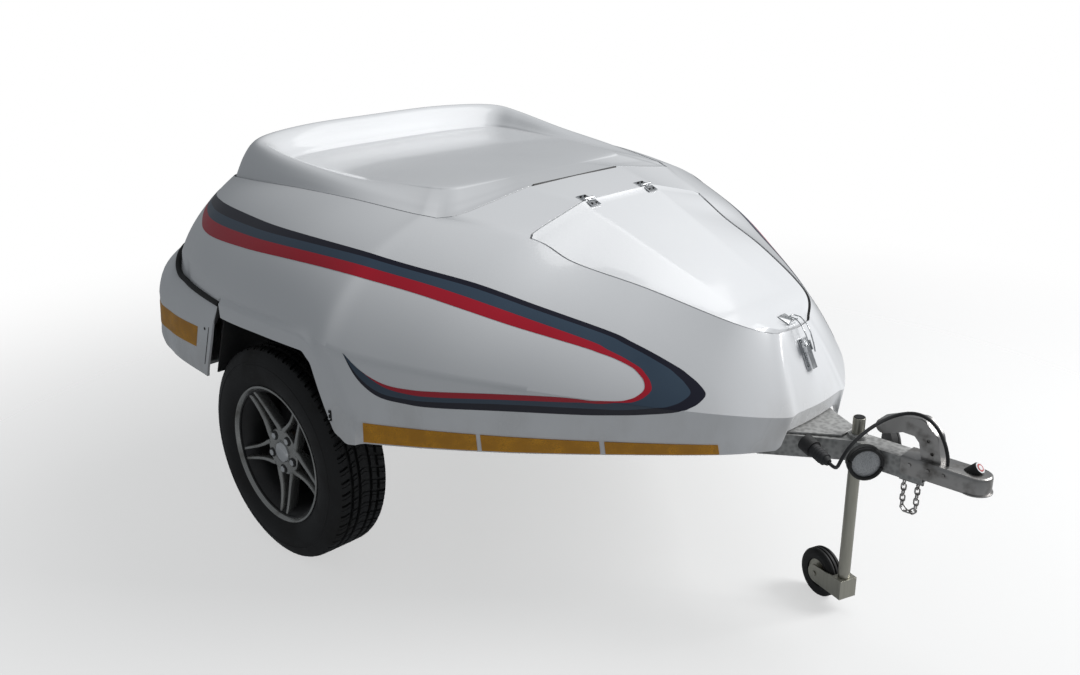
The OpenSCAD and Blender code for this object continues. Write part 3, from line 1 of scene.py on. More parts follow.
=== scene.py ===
import json
from math import cos, radians, sin, tau

import bmesh
import bpy
import numpy as np
from mathutils import Matrix, Vector

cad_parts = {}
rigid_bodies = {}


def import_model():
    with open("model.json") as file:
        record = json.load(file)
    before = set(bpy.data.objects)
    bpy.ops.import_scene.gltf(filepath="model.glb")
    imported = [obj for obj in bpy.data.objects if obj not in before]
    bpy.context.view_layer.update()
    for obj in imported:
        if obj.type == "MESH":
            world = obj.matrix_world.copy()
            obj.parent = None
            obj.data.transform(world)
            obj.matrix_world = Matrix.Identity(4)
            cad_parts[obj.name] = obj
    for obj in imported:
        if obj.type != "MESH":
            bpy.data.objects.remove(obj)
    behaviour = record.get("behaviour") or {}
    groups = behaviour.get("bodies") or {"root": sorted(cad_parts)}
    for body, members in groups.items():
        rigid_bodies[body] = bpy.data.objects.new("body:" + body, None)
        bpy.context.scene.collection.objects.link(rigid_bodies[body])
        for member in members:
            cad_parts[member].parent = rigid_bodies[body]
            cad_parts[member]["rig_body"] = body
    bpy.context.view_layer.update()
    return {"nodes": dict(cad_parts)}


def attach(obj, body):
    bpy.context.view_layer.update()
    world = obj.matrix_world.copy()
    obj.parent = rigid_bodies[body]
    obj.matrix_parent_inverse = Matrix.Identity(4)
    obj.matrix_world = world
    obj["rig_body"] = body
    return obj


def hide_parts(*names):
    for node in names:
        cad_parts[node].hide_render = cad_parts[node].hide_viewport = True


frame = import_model()

# Studio. A pale floor fades out into a white ground. A wide soft light stands ahead of the nose on its
# far side, so that the near side lies in soft shade, and a weak one hangs high over the rear. The camera
# is where the photograph was taken from: ahead of the trailer, to its right and above it.
scene = bpy.context.scene
scene.view_settings.view_transform = "Standard"
turn, dip, roll = radians(44.065), radians(19.852), radians(-0.404)
forward = Vector((-sin(turn) * cos(dip), cos(turn) * cos(dip), -sin(dip)))
right = Vector((cos(turn), sin(turn), 0))
up = right.cross(forward)
right, up = right * cos(roll) + up * sin(roll), up * cos(roll) - right * sin(roll)
camera = bpy.data.objects.new("camera", bpy.data.cameras.new("camera"))
camera.data.lens = 36.665
camera.data.sensor_width = 36
camera.matrix_world = Matrix.LocRotScale(
    Vector((1.8426, -2.1128, 1.5039)), Matrix((right, up, -forward)).transposed(), None)
scene.collection.objects.link(camera)
scene.camera = camera


class Tap:
    """An output socket in a node tree; arithmetic on it adds Math nodes."""

    def __init__(self, tree, socket=None):
        self.tree = tree
        self.socket = socket

    def node(self, kind, settings=None, sockets=None, out=0):
        """A new node: its settings first, then the values or links of its sockets."""
        made = self.tree.nodes.new(kind)
        for name, value in (settings or {}).items():
            if name == "stops":
                ramp = made.color_ramp.elements
                ramp.remove(ramp[1])
                ramp[0].position, ramp[0].color = value[0]
                for place, colour in value[1:]:
                    ramp.new(place).color = colour
            else:
                setattr(made, name, value)
        for name, value in (sockets or {}).items():
            if isinstance(value, Tap):
                self.tree.links.new(value.socket, made.inputs[name])
            else:
                made.inputs[name].default_value = value
        return Tap(self.tree, made.outputs[out])

    def maths(self, operation, a, b):
        return self.node("ShaderNodeMath", {"operation": operation}, {0: a, 1: b})

    def __add__(self, other):
        return self.maths("ADD", self, other)

    def __radd__(self, other):
        return self.maths("ADD", other, self)

    def __sub__(self, other):
        return self.maths("SUBTRACT", self, other)

    def __rsub__(self, other):
        return self.maths("SUBTRACT", other, self)

    def __mul__(self, other):
        return self.maths("MULTIPLY", self, other)

    def __rmul__(self, other):
        return self.maths("MULTIPLY", other, self)

    def between(self, low, high):
        """0 below low, 1 above high and smooth in between."""
        return self.node("ShaderNodeMapRange", {"interpolation_type": "SMOOTHSTEP"},
                         {"Value": self, "From Min": low, "From Max": high})

    def noise(self, scale, detail=3.0):
        """Cloudy noise from 0 to 1 over the coordinates of this socket."""
        return self.node("ShaderNodeTexNoise", None, {"Vector": self, "Scale": scale, "Detail": detail})

    def cells(self, scale, feature="F1"):
        """Distance within random cells over the coordinates of this socket."""
        return self.node("ShaderNodeTexVoronoi", {"feature": feature}, {"Vector": self, "Scale": scale})

    def stretched(self, x, y, z):
        """The coordinates of this socket scaled along each axis."""
        return self.node("ShaderNodeMapping", None, {"Vector": self, "Scale": (x, y, z)})

    def part(self, axis):
        """One of the three coordinates of this socket."""
        return self.node("ShaderNodeSeparateXYZ", None, {0: self}, out=axis)

    def tint(self, low, high):
        """A colour between two, by this socket's value."""
        return self.node("ShaderNodeMix", {"data_type": "RGBA"},
                         {0: self, 6: (*low, 1), 7: high if isinstance(high, Tap) else (*high, 1)}, out=2)

    def over(self, below, colour):
        """A plain colour laid over another socket's colour, as far as this socket's value says."""
        return self.node("ShaderNodeMix", {"data_type": "RGBA"}, {0: self, 6: below, 7: (*colour, 1)}, out=2)

    def relief(self, strength, depth):
        """A bumped normal from this socket as height."""
        return self.node("ShaderNodeBump", None, {"Strength": strength, "Distance": depth, "Height": self})


def new_finish(name):
    """A material, its shader, and a tap on the object's own coordinates in metres."""
    material = bpy.data.materials.new(name)
    material.use_nodes = True
    place = Tap(material.node_tree).node("ShaderNodeTexCoord", out="Object")
    return material, material.node_tree.nodes["Principled BSDF"], place


def feed(shader, sockets):
    """Sets or links the sockets of a shader."""
    for name, value in sockets.items():
        if isinstance(value, Tap):
            value.tree.links.new(value.socket, shader.inputs[name])
        else:
            shader.inputs[name].default_value = value


floor_finish, shader, place = new_finish("studio_floor")
reach = place.node("ShaderNodeVectorMath", {"operation": "LENGTH"}, {0: place}, out="Value")
feed(shader, {
    "Base Color": place.noise(1.5).tint((0.82, 0.82, 0.82), (0.86, 0.86, 0.86)),
    "Roughness": 0.8,
    "Alpha": 0.42 - 0.42 * reach.between(1.2, 3.4),
})
bpy.ops.mesh.primitive_circle_add(vertices=96, radius=4.5, fill_type="NGON")
studio_floor = bpy.context.object
studio_floor.name = "studio_floor"
studio_floor.data.materials.append(floor_finish)

scene.world = bpy.data.worlds.new("studio")
scene.world.use_nodes = True
sky = Tap(scene.world.node_tree)
seen = (sky.node("ShaderNodeLightPath", out="Is Camera Ray")
        + sky.node("ShaderNodeLightPath", out="Is Transmission Ray")).between(0, 1)
ambient = 0.24
feed(scene.world.node_tree.nodes["Background"], {
    "Color": seen.tint((0.90, 0.95, 1.0), (1, 1, 1)),
    "Strength": ambient + (1 - ambient) * seen,
})


def soft_light(name, stand, aim, size, watts):
    """A square area light that faces a point."""
    light = bpy.data.objects.new(name, bpy.data.lights.new(name, "AREA"))
    light.data.size = size
    light.data.energy = watts
    light.location = stand
    light.rotation_mode = "QUATERNION"
    light.rotation_quaternion = (Vector(aim) - Vector(stand)).to_track_quat("-Z", "Y")
    scene.collection.objects.link(light)


soft_light("front_light", (3.0, 2.5, 3.0), (0.2, 0, 0.6), 2.0, 172)
soft_light("high_light", (0.6, 1.6, 3.6), (0, 0, 0.7), 2.4, 34)

# Lighting lead. A black rubber lead of eight millimetres leaves the top of the coupler, stands up
# over the handle and comes down outside the right arm to the plug that is parked in its holder.
rubber_lead, shader, place = new_finish("rubber_lead")
feed(shader, {
    "Base Color": place.noise(60).tint((0.012, 0.012, 0.013), (0.03, 0.03, 0.032)),
    "Roughness": 0.42 + 0.2 * place.noise(220),
    "Normal": place.noise(900).relief(0.15, 0.0004),
})
# Knots of the lead from the coupler to the plug: place, pull
lead_knots = np.array([
    ((1.0047, -0.0100, 0.4536), (0, 0, 0.028)), ((0.9277, -0.0100, 0.5483), (-0.054, 0.002, -0.003)),
    ((0.83624, -0.130437, 0.479086), (-0.011, -0.029, -0.035)),
    ((0.78652, -0.115527, 0.424018), (-0.03336, 0.01084, 0.00810))])
lead_route = [tuple(lead_knots[0, 0])]
for (start, leave), (stop, arrive) in zip(lead_knots[:-1], lead_knots[1:]):
    for t in np.linspace(0, 1, 8)[1:]:
        lead_route.append(tuple(start * (1 - t) ** 3 + (start + leave) * 3 * t * (1 - t) ** 2
                                + (stop - arrive) * 3 * t * t * (1 - t) + stop * t ** 3))
lead_curve = bpy.data.curves.new("cable_lead", "CURVE")
lead_curve.dimensions = "3D"
lead_curve.bevel_depth = 0.004
lead_curve.bevel_resolution = 4
lead_curve.resolution_u = 8
lead_curve.use_fill_caps = True
lead_line = lead_curve.splines.new("BEZIER")
lead_line.bezier_points.add(len(lead_route) - 1)
for knot, spot in zip(lead_line.bezier_points, lead_route):
    knot.co = spot
    knot.handle_left_type = knot.handle_right_type = "AUTO"
lead_curve.materials.append(rubber_lead)
lead = bpy.data.objects.new("cable_lead", lead_curve)
scene.collection.objects.link(lead)
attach(lead, "trailer")
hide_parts("cable")

plug_rubber, shader, place = new_finish("plug_rubber")
feed(shader, {
    "Base Color": place.noise(45).tint((0.022, 0.023, 0.025), (0.05, 0.05, 0.052)),
    "Roughness": 0.55 + 0.2 * place.noise(130),
    "Normal": place.noise(700).relief(0.2, 0.0005),
})


def shown(obj, body, nodes):
    """Puts a new object on its body, in place of the CAD nodes it stands for."""
    scene.collection.objects.link(obj)
    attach(obj, body)
    if nodes:
        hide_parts(*nodes)
    return obj


def edged(obj, width, segments=2, angle=32):
    """Rounds the edges of an object that are sharper than an angle."""
    bevel = obj.modifiers.new("edges", "BEVEL")
    bevel.width = width
    bevel.segments = segments
    bevel.limit_method = "ANGLE"
    bevel.angle_limit = radians(angle)
    bevel.use_clamp_overlap = True
    bevel.harden_normals = True
    return obj


def eased(node, finish, edge=0.0012, smooth=32):
    """The solid of a CAD node with its edges eased, in its place."""
    source = frame["nodes"][node]
    solid = bmesh.new()
    solid.from_mesh(source.data)
    bmesh.ops.remove_doubles(solid, verts=solid.verts, dist=2e-5)
    bmesh.ops.dissolve_limit(solid, angle_limit=radians(0.4), verts=solid.verts, edges=solid.edges)
    mesh = bpy.data.meshes.new(node + "_eased")
    solid.to_mesh(mesh)
    solid.free()
    mesh.materials.clear()
    mesh.materials.append(finish)
    mesh.shade_smooth()
    mesh.set_sharp_from_angle(angle=radians(smooth))
    obj = shown(bpy.data.objects.new(mesh.name, mesh), source["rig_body"], [node])
    return edged(obj, edge, angle=smooth) if edge else obj


plug = eased("plug", plug_rubber, 0.0007)

# Frame. Square steel tubes, welded and hot-dip galvanised: two rails, two arms that meet at the
# drawbar, cross members and gusset plates. The zinc has set in spangles and dulled unevenly.
galvanised, shader, place = new_finish("galvanised_zinc")
spangle = place.cells(95).between(0.1, 0.8)
cloud = place.noise(9)
feed(shader, {
    "Base Color": (0.6 * spangle + 0.4 * cloud).tint((0.22, 0.22, 0.215), (0.50, 0.50, 0.49)),
    "Metallic": 0.35,
    "Roughness": 0.36 + 0.22 * cloud + 0.08 * spangle,
    "Normal": place.noise(160).relief(0.12, 0.0006),
})
for node in ("rail_left", "rail_right", "arm_left", "arm_right", "cross_members", "drawbar", "drawbar_gusset",
             "jockey_sleeve"):
    eased(node, galvanised, 0.0025)

# Axle. A square torsion tube bolted under the rails, with forged trailing arms and stub axles,
# all in black paint that has gone dull with road dirt.
black_paint, shader, place = new_finish("dull_black_paint")
dust = place.noise(14, 5).between(0.4, 0.75)
feed(shader, {
    "Base Color": dust.tint((0.014, 0.014, 0.015), (0.060, 0.055, 0.048)),
    "Roughness": 0.45 + 0.35 * dust,
    "Normal": place.noise(240).relief(0.2, 0.0005),
})
for node, slot in (("axle_tube", "black_steel"), ("trailing_arms", "black_steel"), ("stub_axles", "bright_steel")):
    eased(node, black_paint, 0.0015)

# Road wheels. Radial tyres with four grooves and slotted shoulders, on cast alloy rims with five
# twin spokes painted silver. The barrel and nut wells are dark with brake dust and painted shade, and
# a dark disc behind the spokes is painted shade for the inside of the wheel. Hub, cap and five chromed
# nuts hold each rim.
tyre_rubber, shader, place = new_finish("tyre_rubber")
dust = place.noise(11, 5).between(0.45, 0.8)
feed(shader, {
    "Base Color": dust.tint((0.004, 0.004, 0.0045), (0.013, 0.012, 0.011)),
    "Roughness": 0.6 + 0.25 * dust,
    "Normal": place.noise(420).relief(0.25, 0.0006),
})
silver_alloy, shader, place = new_finish("silver_alloy")
flake = place.noise(1800, 1).between(0.35, 0.7)
dark_patches = place.noise(16, 4).between(0.5, 0.8)
feed(shader, {
    "Base Color": dark_patches.over(flake.tint((0.34, 0.34, 0.33), (0.48, 0.48, 0.46)), (0.22, 0.21, 0.19)),
    "Metallic": 0.8,
    "Roughness": 0.24 + 0.2 * dark_patches,
    "Coat Weight": 0.4 - 0.3 * dark_patches,
    "Normal": place.noise(300).relief(0.04, 0.0004),
})
# A dark metal with brake dust on it that also stands in for the shade inside the wheel: painted shade on the rim's
# barrel, in the nut wells and on the disc behind the spokes.
dusty_painted_shade, shader, place = new_finish("dusty_barrel_painted_shade")
soot = place.noise(20, 5)
feed(shader, {
    "Base Color": soot.tint((0.020, 0.021, 0.024), (0.070, 0.068, 0.066)),
    "Metallic": 0.5,
    "Roughness": 0.35 + 0.3 * soot,
    "Normal": place.noise(260).relief(0.1, 0.0005),
})
chrome, shader, place = new_finish("chrome")
haze = place.noise(70, 4)
feed(shader, {
    "Base Color": haze.tint((0.62, 0.63, 0.64), (0.78, 0.79, 0.80)),
    "Metallic": 1.0,
    "Roughness": 0.10 + 0.22 * haze,
})
bare_cast, shader, place = new_finish("hub_casting")
rust = place.noise(38, 5).between(0.52, 0.7)
feed(shader, {
    "Base Color": rust.tint((0.020, 0.020, 0.021), (0.075, 0.050, 0.034)),
    "Roughness": 0.5 + 0.3 * rust,
    "Normal": place.noise(300).relief(0.3, 0.0006),
})


def meshed(name, points, faces, finish, body, nodes=(), smooth=32):
    """A smooth mesh from points and faces, with welded seams, on its body."""
    shape = bmesh.new()
    corners = [shape.verts.new(p) for p in points]
    for face in faces:
        shape.faces.new([corners[k] for k in face])
    bmesh.ops.remove_doubles(shape, verts=shape.verts, dist=1e-5)
    bmesh.ops.recalc_face_normals(shape, faces=shape.faces)
    mesh = bpy.data.meshes.new(name)
    shape.to_mesh(mesh)
    shape.free()
    mesh.materials.append(finish)
    mesh.shade_smooth()
    mesh.set_sharp_from_angle(angle=radians(smooth))
    return shown(bpy.data.objects.new(name, mesh), body, nodes)


def grid_faces(rows, cols, close_rows=False, close_cols=False, first=0):
    """Quads over a grid of points that are listed row by row."""
    return [(first + i * cols + j, first + i * cols + (j + 1) % cols,
             first + (i + 1) % rows * cols + (j + 1) % cols, first + (i + 1) % rows * cols + j)
            for i in range(rows if close_rows else rows - 1) for j in range(cols if close_cols else cols - 1)]


AXLE_X, AXLE_Z, TRACK_HALF = -0.400, 0.280, 0.695
BEAD_R, TYRE_R, TYRE_W = 0.168, 0.280, 0.165
# Half of the section from the bead out: share of the height, share of the width
flank = np.array([(0, 0.36), (0.06, 0.40), (0.13, 0.432), (0.16, 0.437), (0.18, 0.447), (0.30, 0.484),
                  (0.40, 0.496), (0.50, 0.5), (0.60, 0.494), (0.64, 0.489), (0.65, 0.481), (0.70, 0.474),
                  (0.71, 0.480), (0.78, 0.462), (0.86, 0.440), (0.90, 0.424), (0.95, 0.400)])
# The tread from the shoulder to the middle: share of the width, depth, and how far the slots cut
tread = [(0.385, 0.0030, 1), (0.360, 0.0012, 1), (0.330, 0.0004, 1), (0.262, 0.0002, 1), (0.254, 0.0075, 0),
         (0.212, 0.0075, 0), (0.204, 0.0, 0.55), (0.130, 0.0, 0.55), (0.122, 0.0075, 0), (0.080, 0.0075, 0),
         (0.072, 0.0, 0.4), (0.0, 0.0, 0.4)]
# One pitch of the tread: share of the pitch, depth of the slot
pitch = [(0.0, 0), (0.30, 0), (0.33, 1), (0.50, 1), (0.53, 0), (0.76, 0), (0.78, 0.7), (0.81, 0.7), (0.83, 0)]
PITCHES, SLOT_DEPTH, SLANT = 54, 0.0060, 0.35


def tyre_section(slot):
    """Points of the tyre's outside as (radius, width) at one angle of the tread."""
    side = [(BEAD_R + s * (TYRE_R - BEAD_R), w * TYRE_W) for s, w in flank]
    crown = [(TYRE_R - d - SLOT_DEPTH * slot * cut, w * TYRE_W) for w, d, cut in tread]
    half = side + crown
    return half + [(r, -w) for r, w in reversed(half[:-1])]


# Section of the rim, all round: radius, width from the middle; the last rows are the bright lip
barrel = [(0.1775, 0.0680), (0.168, 0.066), (0.168, -0.066), (0.182, -0.070), (0.182, -0.075), (0.172, -0.075),
          (0.160, -0.060), (0.152, -0.020), (0.150, 0.010), (0.155, 0.036), (0.164, 0.056), (0.1715, 0.0660)]
lip = [(0.1715, 0.0660), (0.1745, 0.0715), (0.1768, 0.0743), (0.1795, 0.0750), (0.1815, 0.0738), (0.1820, 0.0715),
       (0.1808, 0.0695), (0.1775, 0.0680)]
# One rib of a twin spoke from the hub out: radius, distance from the middle of the pair, width, face, back
rib = np.array([(0.050, 0.0290, 0.0130, 0.0490, 0.0250), (0.064, 0.0270, 0.0120, 0.0495, 0.0240),
                (0.080, 0.0225, 0.0105, 0.0500, 0.0235), (0.100, 0.0185, 0.0092, 0.0510, 0.0240),
                (0.122, 0.0160, 0.0086, 0.0535, 0.0265), (0.145, 0.0145, 0.0084, 0.0575, 0.0310),
                (0.160, 0.0138, 0.0086, 0.0610, 0.0380), (0.172, 0.0134, 0.0090, 0.0640, 0.0480)])
# Sections of the pad round the nuts and of the dark disc behind the spokes, which is painted shade: radius, width
# from the middle
pad = [(0.020, 0.026), (0.058, 0.026), (0.062, 0.034), (0.0615, 0.0455), (0.059, 0.0480), (0.034, 0.0495),
       (0.030, 0.0470), (0.020, 0.0460)]
painted_shade_disc = [(0.032, -0.050), (0.158, -0.050), (0.158, -0.053), (0.032, -0.053)]
SPOKES = 5
NUT_CIRCLE, WELL_R, WELL_FOOT, WELL_FACE, WELL_SIDES = 0.047, 0.0125, 0.040, 0.0502, 20


def turned(name, section, side, finish, body, nodes=(), closed=True, steps=120):
    """A ring turned about the axle from a section of (radius, width)."""
    points = [(AXLE_X + r * sin(a), side * (TRACK_HALF + w), AXLE_Z + r * cos(a))
              for a in np.arange(steps) * tau / steps for r, w in section]
    return meshed(name, points, grid_faces(steps, len(section), close_rows=True, close_cols=closed), finish, body,
                  nodes)


def wheel_at(side, angle, r, off, w):
    """A point of a wheel: radius and sideways distance along a spoke, width from the middle of the wheel."""
    return (AXLE_X + r * sin(angle) + off * cos(angle), side * (TRACK_HALF + w),
            AXLE_Z + r * cos(angle) - off * sin(angle))


for side, label in ((-1, "right"), (1, "left")):
    body = label + "_wheel"
    spoke_angles = [(tau / 2 if side < 0 else 0) + k * tau / SPOKES for k in range(SPOKES)]
    points = []
    for n in range(PITCHES):
        for share, slot in pitch:
            turn_by = (n + share) / PITCHES * tau
            for r, w in tyre_section(slot):
                slant = turn_by + SLANT * abs(w) / TYRE_R
                points.append((AXLE_X + r * sin(slant), side * (TRACK_HALF + w), AXLE_Z + r * cos(slant)))
    cols = len(tyre_section(0))
    meshed(label + "_tyre_tread", points, grid_faces(PITCHES * len(pitch), cols, close_rows=True), tyre_rubber,
           body, [label + "_tyre"], smooth=28)
    # The barrel inside the lip is dark: brake dust and painted shade.
    turned(label + "_rim_barrel", barrel, side, dusty_painted_shade, body, [label + "_rim"], closed=False)
    turned(label + "_rim_lip", lip, side, silver_alloy, body, closed=False)
    # A dark disc behind the spokes: painted shade for the inside of the wheel.
    turned(label + "_dust_shield", painted_shade_disc, side, dusty_painted_shade, body)
    points, faces = [], []
    for angle in spoke_angles:
        for hand in (-1, 1):
            start = len(points)
            for r, off, wide, face, back in rib:
                for a, w in ((-0.5, back), (-0.62, (face + back) / 2), (-0.5, face - 0.002), (-0.3, face),
                             (0.3, face), (0.5, face - 0.002), (0.62, (face + back) / 2), (0.5, back)):
                    points.append(wheel_at(side, angle, r, hand * off + a * wide, w))
            faces += grid_faces(len(rib), 8, close_cols=True, first=start)
            faces += [tuple(range(start, start + 8)), tuple(range(len(points) - 8, len(points)))]
    meshed(label + "_rim_spokes", points, faces, silver_alloy, body, smooth=50)
    turned(label + "_rim_pad", pad, side, silver_alloy, body)
    # Dark wells round the nuts: painted shade in the recesses, with brake dust.
    for k, angle in enumerate(spoke_angles):
        well = [wheel_at(side, angle, NUT_CIRCLE + WELL_R * cos(a), WELL_R * sin(a), w)
                for w in (WELL_FOOT, WELL_FACE) for a in np.arange(WELL_SIDES) * tau / WELL_SIDES]
        faces = grid_faces(2, WELL_SIDES, close_cols=True)
        faces += [tuple(range(WELL_SIDES)), tuple(range(WELL_SIDES, 2 * WELL_SIDES))]
        meshed(f"{label}_nut_well_{k}", well, faces, dusty_painted_shade, body)
    eased(label + "_hub", bare_cast, 0.0012)
    eased(label + "_cap_nuts", chrome, 0.0009)

# Body shell. One moulding in glass-fibre with white gelcoat, laid up in a female mould: skirt, crowned
# walls, the bridge between the two lids and a gutter with ledge round each opening.
gelcoat, shader, place = new_finish("white_gelcoat")
height = place.part("Z")
film = place.noise(2.6, 4)
# Below about 0.62 m the gelcoat is darker, rougher and less glossy in patches, most of all towards the bottom.
dark_patches = (1 - height.between(0.40, 0.62)) * place.stretched(1, 1, 0.4).noise(14, 5).between(0.35, 0.8)
feed(shader, {
    "Base Color": (0.55 * dark_patches).over(film.tint((0.78, 0.79, 0.81), (0.84, 0.85, 0.86)), (0.50, 0.48, 0.45)),
    "Roughness": 0.16 + 0.10 * film + 0.25 * dark_patches,
    "Coat Weight": 0.5 - 0.4 * dark_patches,
    "Coat Roughness": 0.06,
    "Normal": place.noise(34, 2).relief(0.06, 0.0008),
})
MIRROR = np.array([1, -1, 1])
BODY_REAR, BODY_LONG, BODY_HALF, BODY_LOW, BODY_TALL = -1.055, 1.75, 0.79, 0.42, 0.48
# The body's four rails, one row for each station from the middle of the rear to the middle of the nose:
# share of the length, share of the half width, share of the height
lower_rail = np.array([
    (0.000, 0.000, 0.433), (0.003, 0.440, 0.433), (0.044, 0.810, 0.437), (0.134, 0.914, 0.440),
    (0.277, 0.977, 0.406), (0.391, 0.994, 0.420), (0.507, 0.994, 0.429), (0.555, 0.990, 0.015),
    (0.649, 0.852, 0.005), (0.740, 0.696, 0.000), (0.831, 0.523, 0.000), (0.937, 0.304, 0.000),
    (0.982, 0.172, 0.000), (0.986, 0.138, 0.082), (0.989, 0.000, 0.082)])
belt_rail = np.array([
    (0.002, 0.000, 0.583), (0.006, 0.430, 0.583), (0.050, 0.800, 0.583), (0.134, 0.909, 0.594),
    (0.277, 0.981, 0.573), (0.391, 0.999, 0.552), (0.507, 1.000, 0.517), (0.555, 0.978, 0.458),
    (0.649, 0.864, 0.400), (0.740, 0.724, 0.350), (0.834, 0.560, 0.296), (0.937, 0.344, 0.229),
    (0.990, 0.170, 0.175), (0.996, 0.105, 0.177), (1.000, 0.000, 0.179)])
shoulder_rail = np.array([
    (0.019, 0.000, 0.792), (0.024, 0.400, 0.792), (0.063, 0.728, 0.792), (0.140, 0.829, 0.817),
    (0.278, 0.876, 0.823), (0.394, 0.886, 0.817), (0.503, 0.851, 0.792), (0.549, 0.810, 0.763),
    (0.649, 0.703, 0.692), (0.734, 0.589, 0.608), (0.829, 0.453, 0.508), (0.923, 0.285, 0.406),
    (0.968, 0.140, 0.354), (0.973, 0.085, 0.357), (0.976, 0.000, 0.359)])
rim_rail = np.array([
    (0.047, 0.000, 0.967), (0.053, 0.370, 0.971), (0.089, 0.633, 0.985), (0.157, 0.684, 1.000),
    (0.283, 0.665, 1.010), (0.397, 0.639, 1.006), (0.497, 0.592, 0.977), (0.537, 0.559, 0.963),
    (0.653, 0.421, 0.892), (0.717, 0.382, 0.800), (0.810, 0.305, 0.715), (0.911, 0.203, 0.590),
    (0.945, 0.104, 0.521), (0.952, 0.061, 0.517), (0.955, 0.000, 0.515)])
# The bridge between the lids from the side inwards: its rear edge and its front edge
bridge_rails = np.array([
    ((0.553, 0.525, 0.971), (0.646, 0.399, 0.906)), ((0.559, 0.475, 0.983), (0.645, 0.361, 0.923)),
    ((0.566, 0.222, 1.050), (0.645, 0.171, 1.004)), ((0.566, 0.000, 1.054), (0.645, 0.000, 1.006))])
LAST = len(lower_rail) - 1
SKIN, GUTTER, LEDGE, LID_GAP, LID_T, FLANGE = 0.007, 0.022, 0.024, 0.006, 0.007, 0.0075
# The raised rim of the wheel arch: height, width up to its crease, width up to its foot, and the
# stations between which it rises at the bumper; then the rounding of the arch's front corners
FLARE, FLARE_CREASE, FLARE_FOOT, FLARE_START, FLARE_FULL = 0.014, 0.036, 0.053, 3.96, 4.06
CORNER_REACH, CORNER_SPREAD = 0.4, 0.22
FINE = 20


def body_at(share):
    """A point from its shares of the body's length, half width and height."""
    return np.array((BODY_REAR + BODY_LONG * share[0], -BODY_HALF * share[1], BODY_LOW + BODY_TALL * share[2]))


def spline(p, q, r, s, t):
    """A smooth curve between the middle two of four rows."""
    return q + ((r - p) * t + (2 * p - 5 * q + 4 * r - s) * t * t + (3 * q - p - 3 * r + s) * t ** 3) / 2


def row_of(rail, i):
    """A station of a rail; beyond its ends the rail goes on as its mirror image."""
    return rail[-i] * MIRROR if i < 0 else rail[2 * LAST - i] * MIRROR if i > LAST else rail[i]


def along(rail, u):
    """The shares of a rail at any station."""
    i = min(int(u), LAST - 1)
    return spline(*(row_of(rail, i + k) for k in (-1, 0, 1, 2)), u - i)


def edge_at(u):
    """The lower edge of the wall with sharp corners, straight up the front of the wheel arch."""
    i = min(int(u), LAST - 1)
    straight = lower_rail[i] + (lower_rail[i + 1] - lower_rail[i]) * (u - i)
    share = straight if i == 6 else along(lower_rail, u)
    share[2] = straight[2]
    return body_at(share)


def lower_at(u):
    """The lower edge of the wall, with the two corners at the front of the wheel arch rounded."""
    near = max(0, 1 - min(abs(u - 6), abs(u - 7)) / CORNER_REACH)
    return sum(edge_at(u + CORNER_SPREAD * near * k) for k in (-1, -0.5, 0, 0.5, 1)) / 5


def plan_at(u):
    """A point of the smooth lower rail; below 0 it lies on the left side."""
    return body_at(along(lower_rail, abs(u))) * (1, -1 if u < 0 else 1, 1)


def out_at(u):
    """The level direction straight out of the wall."""
    run = plan_at(u + 0.01) - plan_at(u - 0.01)
    return np.array((run[1], -run[0], 0)) / np.hypot(run[0], run[1])


def eased_step(value, low, high):
    """0 below low, 1 above high and smooth in between."""
    t = np.clip((value - low) / (high - low), 0, 1)
    return t * t * (3 - 2 * t)


arch_edge = np.array([lower_at(u) for u in np.linspace(3.95, 7, 184)])


def wall_at(u, v):
    """A point of the outer wall: v is 0 at the lower edge, 1 at the belt and 6 at the rim."""
    belt = body_at(along(belt_rail, u))
    if v <= 1:
        low = lower_at(u)
        spot = low + (belt - low) * v
    else:
        t = (v - 1) / 5
        shoulder, rim = body_at(along(shoulder_rail, u)), body_at(along(rim_rail, u))
        spot = belt * (1 - t) * (1 - 2 * t) + shoulder * 4 * t * (1 - t) + rim * t * (2 * t - 1)
    if 3.8 < u < 8.6 and v < 2.5:
        # The raised rim round the wheel arch
        gap = np.sqrt(((arch_edge - spot) ** 2).sum(1).min())
        rise = eased_step(u, FLARE_START, FLARE_FULL) * (1 - eased_step(gap, FLARE_CREASE, FLARE_FOOT))
        spot = spot + out_at(u) * FLARE * rise
    return spot


def bridge_at(r, t):
    """A point of the bridge: r runs over its rows from 0 at the right to 8 at the left."""
    if r > 4:
        return bridge_at(8 - r, t) * MIRROR
    rows = [body_at(along(rim_rail, 7 + t))]
    rows += [body_at(a) + (body_at(b) - body_at(a)) * t for a, b in bridge_rails]
    i = min(int(r), 3)
    return rows[i] + (rows[i + 1] - rows[i]) * (r - i)


def inset(ring, by):
    """A closed ring moved inwards in plan; rings run forward along the right side."""
    ring = np.asarray(ring)
    run = np.roll(ring, -1, 0) - np.roll(ring, 1, 0)
    run = run[:, :2] / np.linalg.norm(run[:, :2], axis=1)[:, None]
    return ring + by * np.column_stack((-run[:, 1], run[:, 0], np.zeros(len(ring))))


def down(ring, by):
    """A ring lowered by a depth."""
    return np.asarray(ring) - (0, 0, by)


def both_halves(half):
    """A closed ring from its right half, which starts and ends on the middle line."""
    return np.array(list(half) + [p * MIRROR for p in half[-2:0:-1]])


